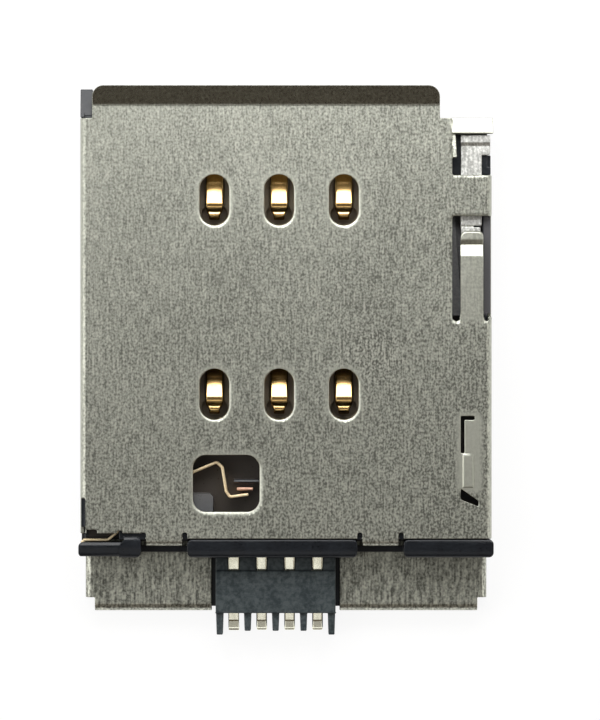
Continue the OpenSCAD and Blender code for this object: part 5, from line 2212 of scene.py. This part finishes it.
@dataclass
class Studio:
    """White floor, soft lights and the overhead camera."""

    view_mm: tuple[float, float] = (0.55, 0.0)
    frame_mm: float = 28.235
    lens: float = 400.0
    sensor: float = 36.0
    focus_mm: float = 2.5
    floor_mm: float = 3000.0
    floor_grey: float = 0.9
    floor_glow: float = 1.06
    floor_lit: float = 0.85
    overhead: float = 0.13
    side_light: float = 0.45
    front_light: float = 0.25
    rear_dark: float = 0.05
    darkest: float = 0.06
    front_tint: Colour = (1.0, 0.99, 0.96)
    rear_tint: Colour = (1.0, 0.82, 0.64)
    rear_tinted: float = 1.5

    def build(self) -> None:
        """Set up the floor, the world, the lights and the camera."""
        self.floor()
        self.world()
        self.softbox(Side.FRONT, angle=40.0, distance=50.0, size=(55.0, 26.0), glow=5.0)
        self.softbox(Side.LEFT, angle=50.0, distance=100.0, size=(100.0, 80.0), glow=1.5)
        self.softbox(Side.RIGHT, angle=62.0, distance=100.0, size=(60.0, 60.0), glow=0.8)
        self.softbox(Side.REAR, angle=34.0, distance=65.0, size=(24.0, 12.0), glow=1.1)
        self.camera()
        bpy.context.scene.view_settings.view_transform = "Standard"

    def floor(self) -> None:
        """Lay a white floor that still takes the object's shadow."""
        bpy.ops.object.select_all(action="DESELECT")
        bpy.ops.mesh.primitive_plane_add(size=self.floor_mm * MM, location=(0, 0, -TINY * MM))
        floor = bpy.context.object
        floor.name = "floor"
        material, graph = new_graph("floor_white")
        rays = graph.node("ShaderNodeLightPath")
        seen = graph.wire(rays, "Is Camera Ray")
        for ray in ("Is Glossy Ray", "Is Transmission Ray"):
            seen = seen.at_least(graph.wire(rays, ray))
        grey = self.floor_grey
        matte = graph.node("ShaderNodeBsdfDiffuse", None, {"Color": (grey, grey, grey, 1)})
        white = graph.node("ShaderNodeEmission", None, {"Color": (1, 1, 1, 1), "Strength": self.floor_glow})
        looks = {0: seen * self.floor_lit, 1: graph.wire(matte), 2: graph.wire(white)}
        top = graph.node("ShaderNodeMixShader", None, looks)
        below = graph.wire(graph.node("ShaderNodeNewGeometry"), "Backfacing")
        clear = graph.node("ShaderNodeBsdfTransparent")
        graph.close("ShaderNodeMixShader", {0: below, 1: graph.wire(top), 2: graph.wire(clear)})
        floor.data.materials.append(material)

    def world(self) -> None:
        """Light the room: grey overhead, paler at the sides and dark towards the rear."""
        world = bpy.data.worlds.new("room")
        world.use_nodes = True
        bpy.context.scene.world = world
        graph = Graph(world.node_tree)
        way = graph.wire(graph.node("ShaderNodeTexCoord"), "Generated")
        parts = graph.node("ShaderNodeSeparateXYZ", None, {"Vector": way})
        x, y = graph.wire(parts, "X"), graph.wire(parts, "Y")
        front = y.at_least(0.0)
        rear = (0.0 - y).at_least(0.0)
        level = x * x * self.side_light + front * self.front_light - rear * self.rear_dark + self.overhead
        tint = graph.mix(rear * self.rear_tinted, self.front_tint, self.rear_tint)
        light = {"Color": tint, "Strength": level.at_least(self.darkest)}
        room = graph.node("ShaderNodeBackground", None, light)
        graph.node("ShaderNodeOutputWorld", None, {"Surface": graph.wire(room)})

    def softbox(
        self, side: Side, angle: float, distance: float, size: tuple[float, float], glow: float
    ) -> None:
        """Hang a rectangular lamp that faces the socket.

        Args:
            side: side of the socket that it hangs over.
            angle: degrees from the vertical.
            distance: distance from the origin, in millimetres.
            size: its sides along X and Y before it is tilted, in millimetres.
            glow: brightness of its face.
        """
        name = side.name.lower()
        steep, turn = math.radians(angle), math.radians(side.value)
        way = Vector((math.sin(steep) * math.cos(turn), math.sin(steep) * math.sin(turn), math.cos(steep)))
        wide, deep = (length * MM for length in size)
        lamp = bpy.data.lights.new(name, "AREA")
        lamp.shape = "RECTANGLE"
        lamp.size = wide
        lamp.size_y = deep
        lamp.energy = glow * math.pi * wide * deep
        obj = bpy.data.objects.new(name, lamp)
        obj.location = way * distance * MM
        if side in (Side.FRONT, Side.REAR):
            obj.rotation_euler = (-steep if side is Side.FRONT else steep, 0, 0)
        else:
            obj.rotation_euler = (0, steep, turn)
        bpy.context.scene.collection.objects.link(obj)

    def camera(self) -> None:
        """Look straight down from far away, with the photo's frame."""
        data = bpy.data.cameras.new("overhead")
        data.lens = self.lens
        data.sensor_width = self.sensor
        distance = self.lens / self.sensor * self.frame_mm
        data.clip_start = distance * MM / 10
        data.clip_end = 20 * self.floor_mm * MM
        camera = bpy.data.objects.new("overhead", data)
        camera.location = (self.view_mm[0] * MM, self.view_mm[1] * MM, (distance + self.focus_mm) * MM)
        bpy.context.scene.collection.objects.link(camera)
        bpy.context.scene.camera = camera


def main() -> None:
    """Build the socket's pieces in order, then the studio."""
    logging.basicConfig(level=logging.INFO, format="%(name)s: %(message)s")
    at = Stations()
    base_steel = BASE_STEEL.make()
    link_steel = LINK_STEEL.make()
    contact_gold = CONTACT_GOLD.make()
    switch_gold = SWITCH_GOLD.make()
    comb_resin = COMB_RESIN.make()
    slider_resin = SLIDER_RESIN.make()
    cover = Cover(at)
    deck = Deck(at, cover)
    # Deck resin with painted light: warm reflection low inside, tan light under the slots, grey sheen on
    # the rest
    deck_resin = DECK_RESIN.make([deck.inside_plan()], cover.slots(), [deck.rest_plan()])
    # Places of the cover given painted light: a lighter tone standing in for the light on them
    painted_light = [cover.flap_plan(), cover.finger_plan(), cover.lance_plan()]
    # Openings of the cover that get a painted light halo round their rims
    rims = [*cover.slots(), cover.window_plan(), cover.lance_plan()]
    cover.build(COVER_STEEL.make(rims, painted_light))
    Base(at).build(base_steel, deck_resin)
    Comb(at).build(comb_resin)
    deck.build(deck_resin)
    contacts = Contacts(at, cover)
    contacts.build(contact_gold)
    Switch(at, contacts, cover).build(switch_gold, SWITCH_COPPER.make())
    Ejector(at, cover, deck).build(slider_resin, link_steel)
    Studio().build()


if __name__ == "__main__":
    main()
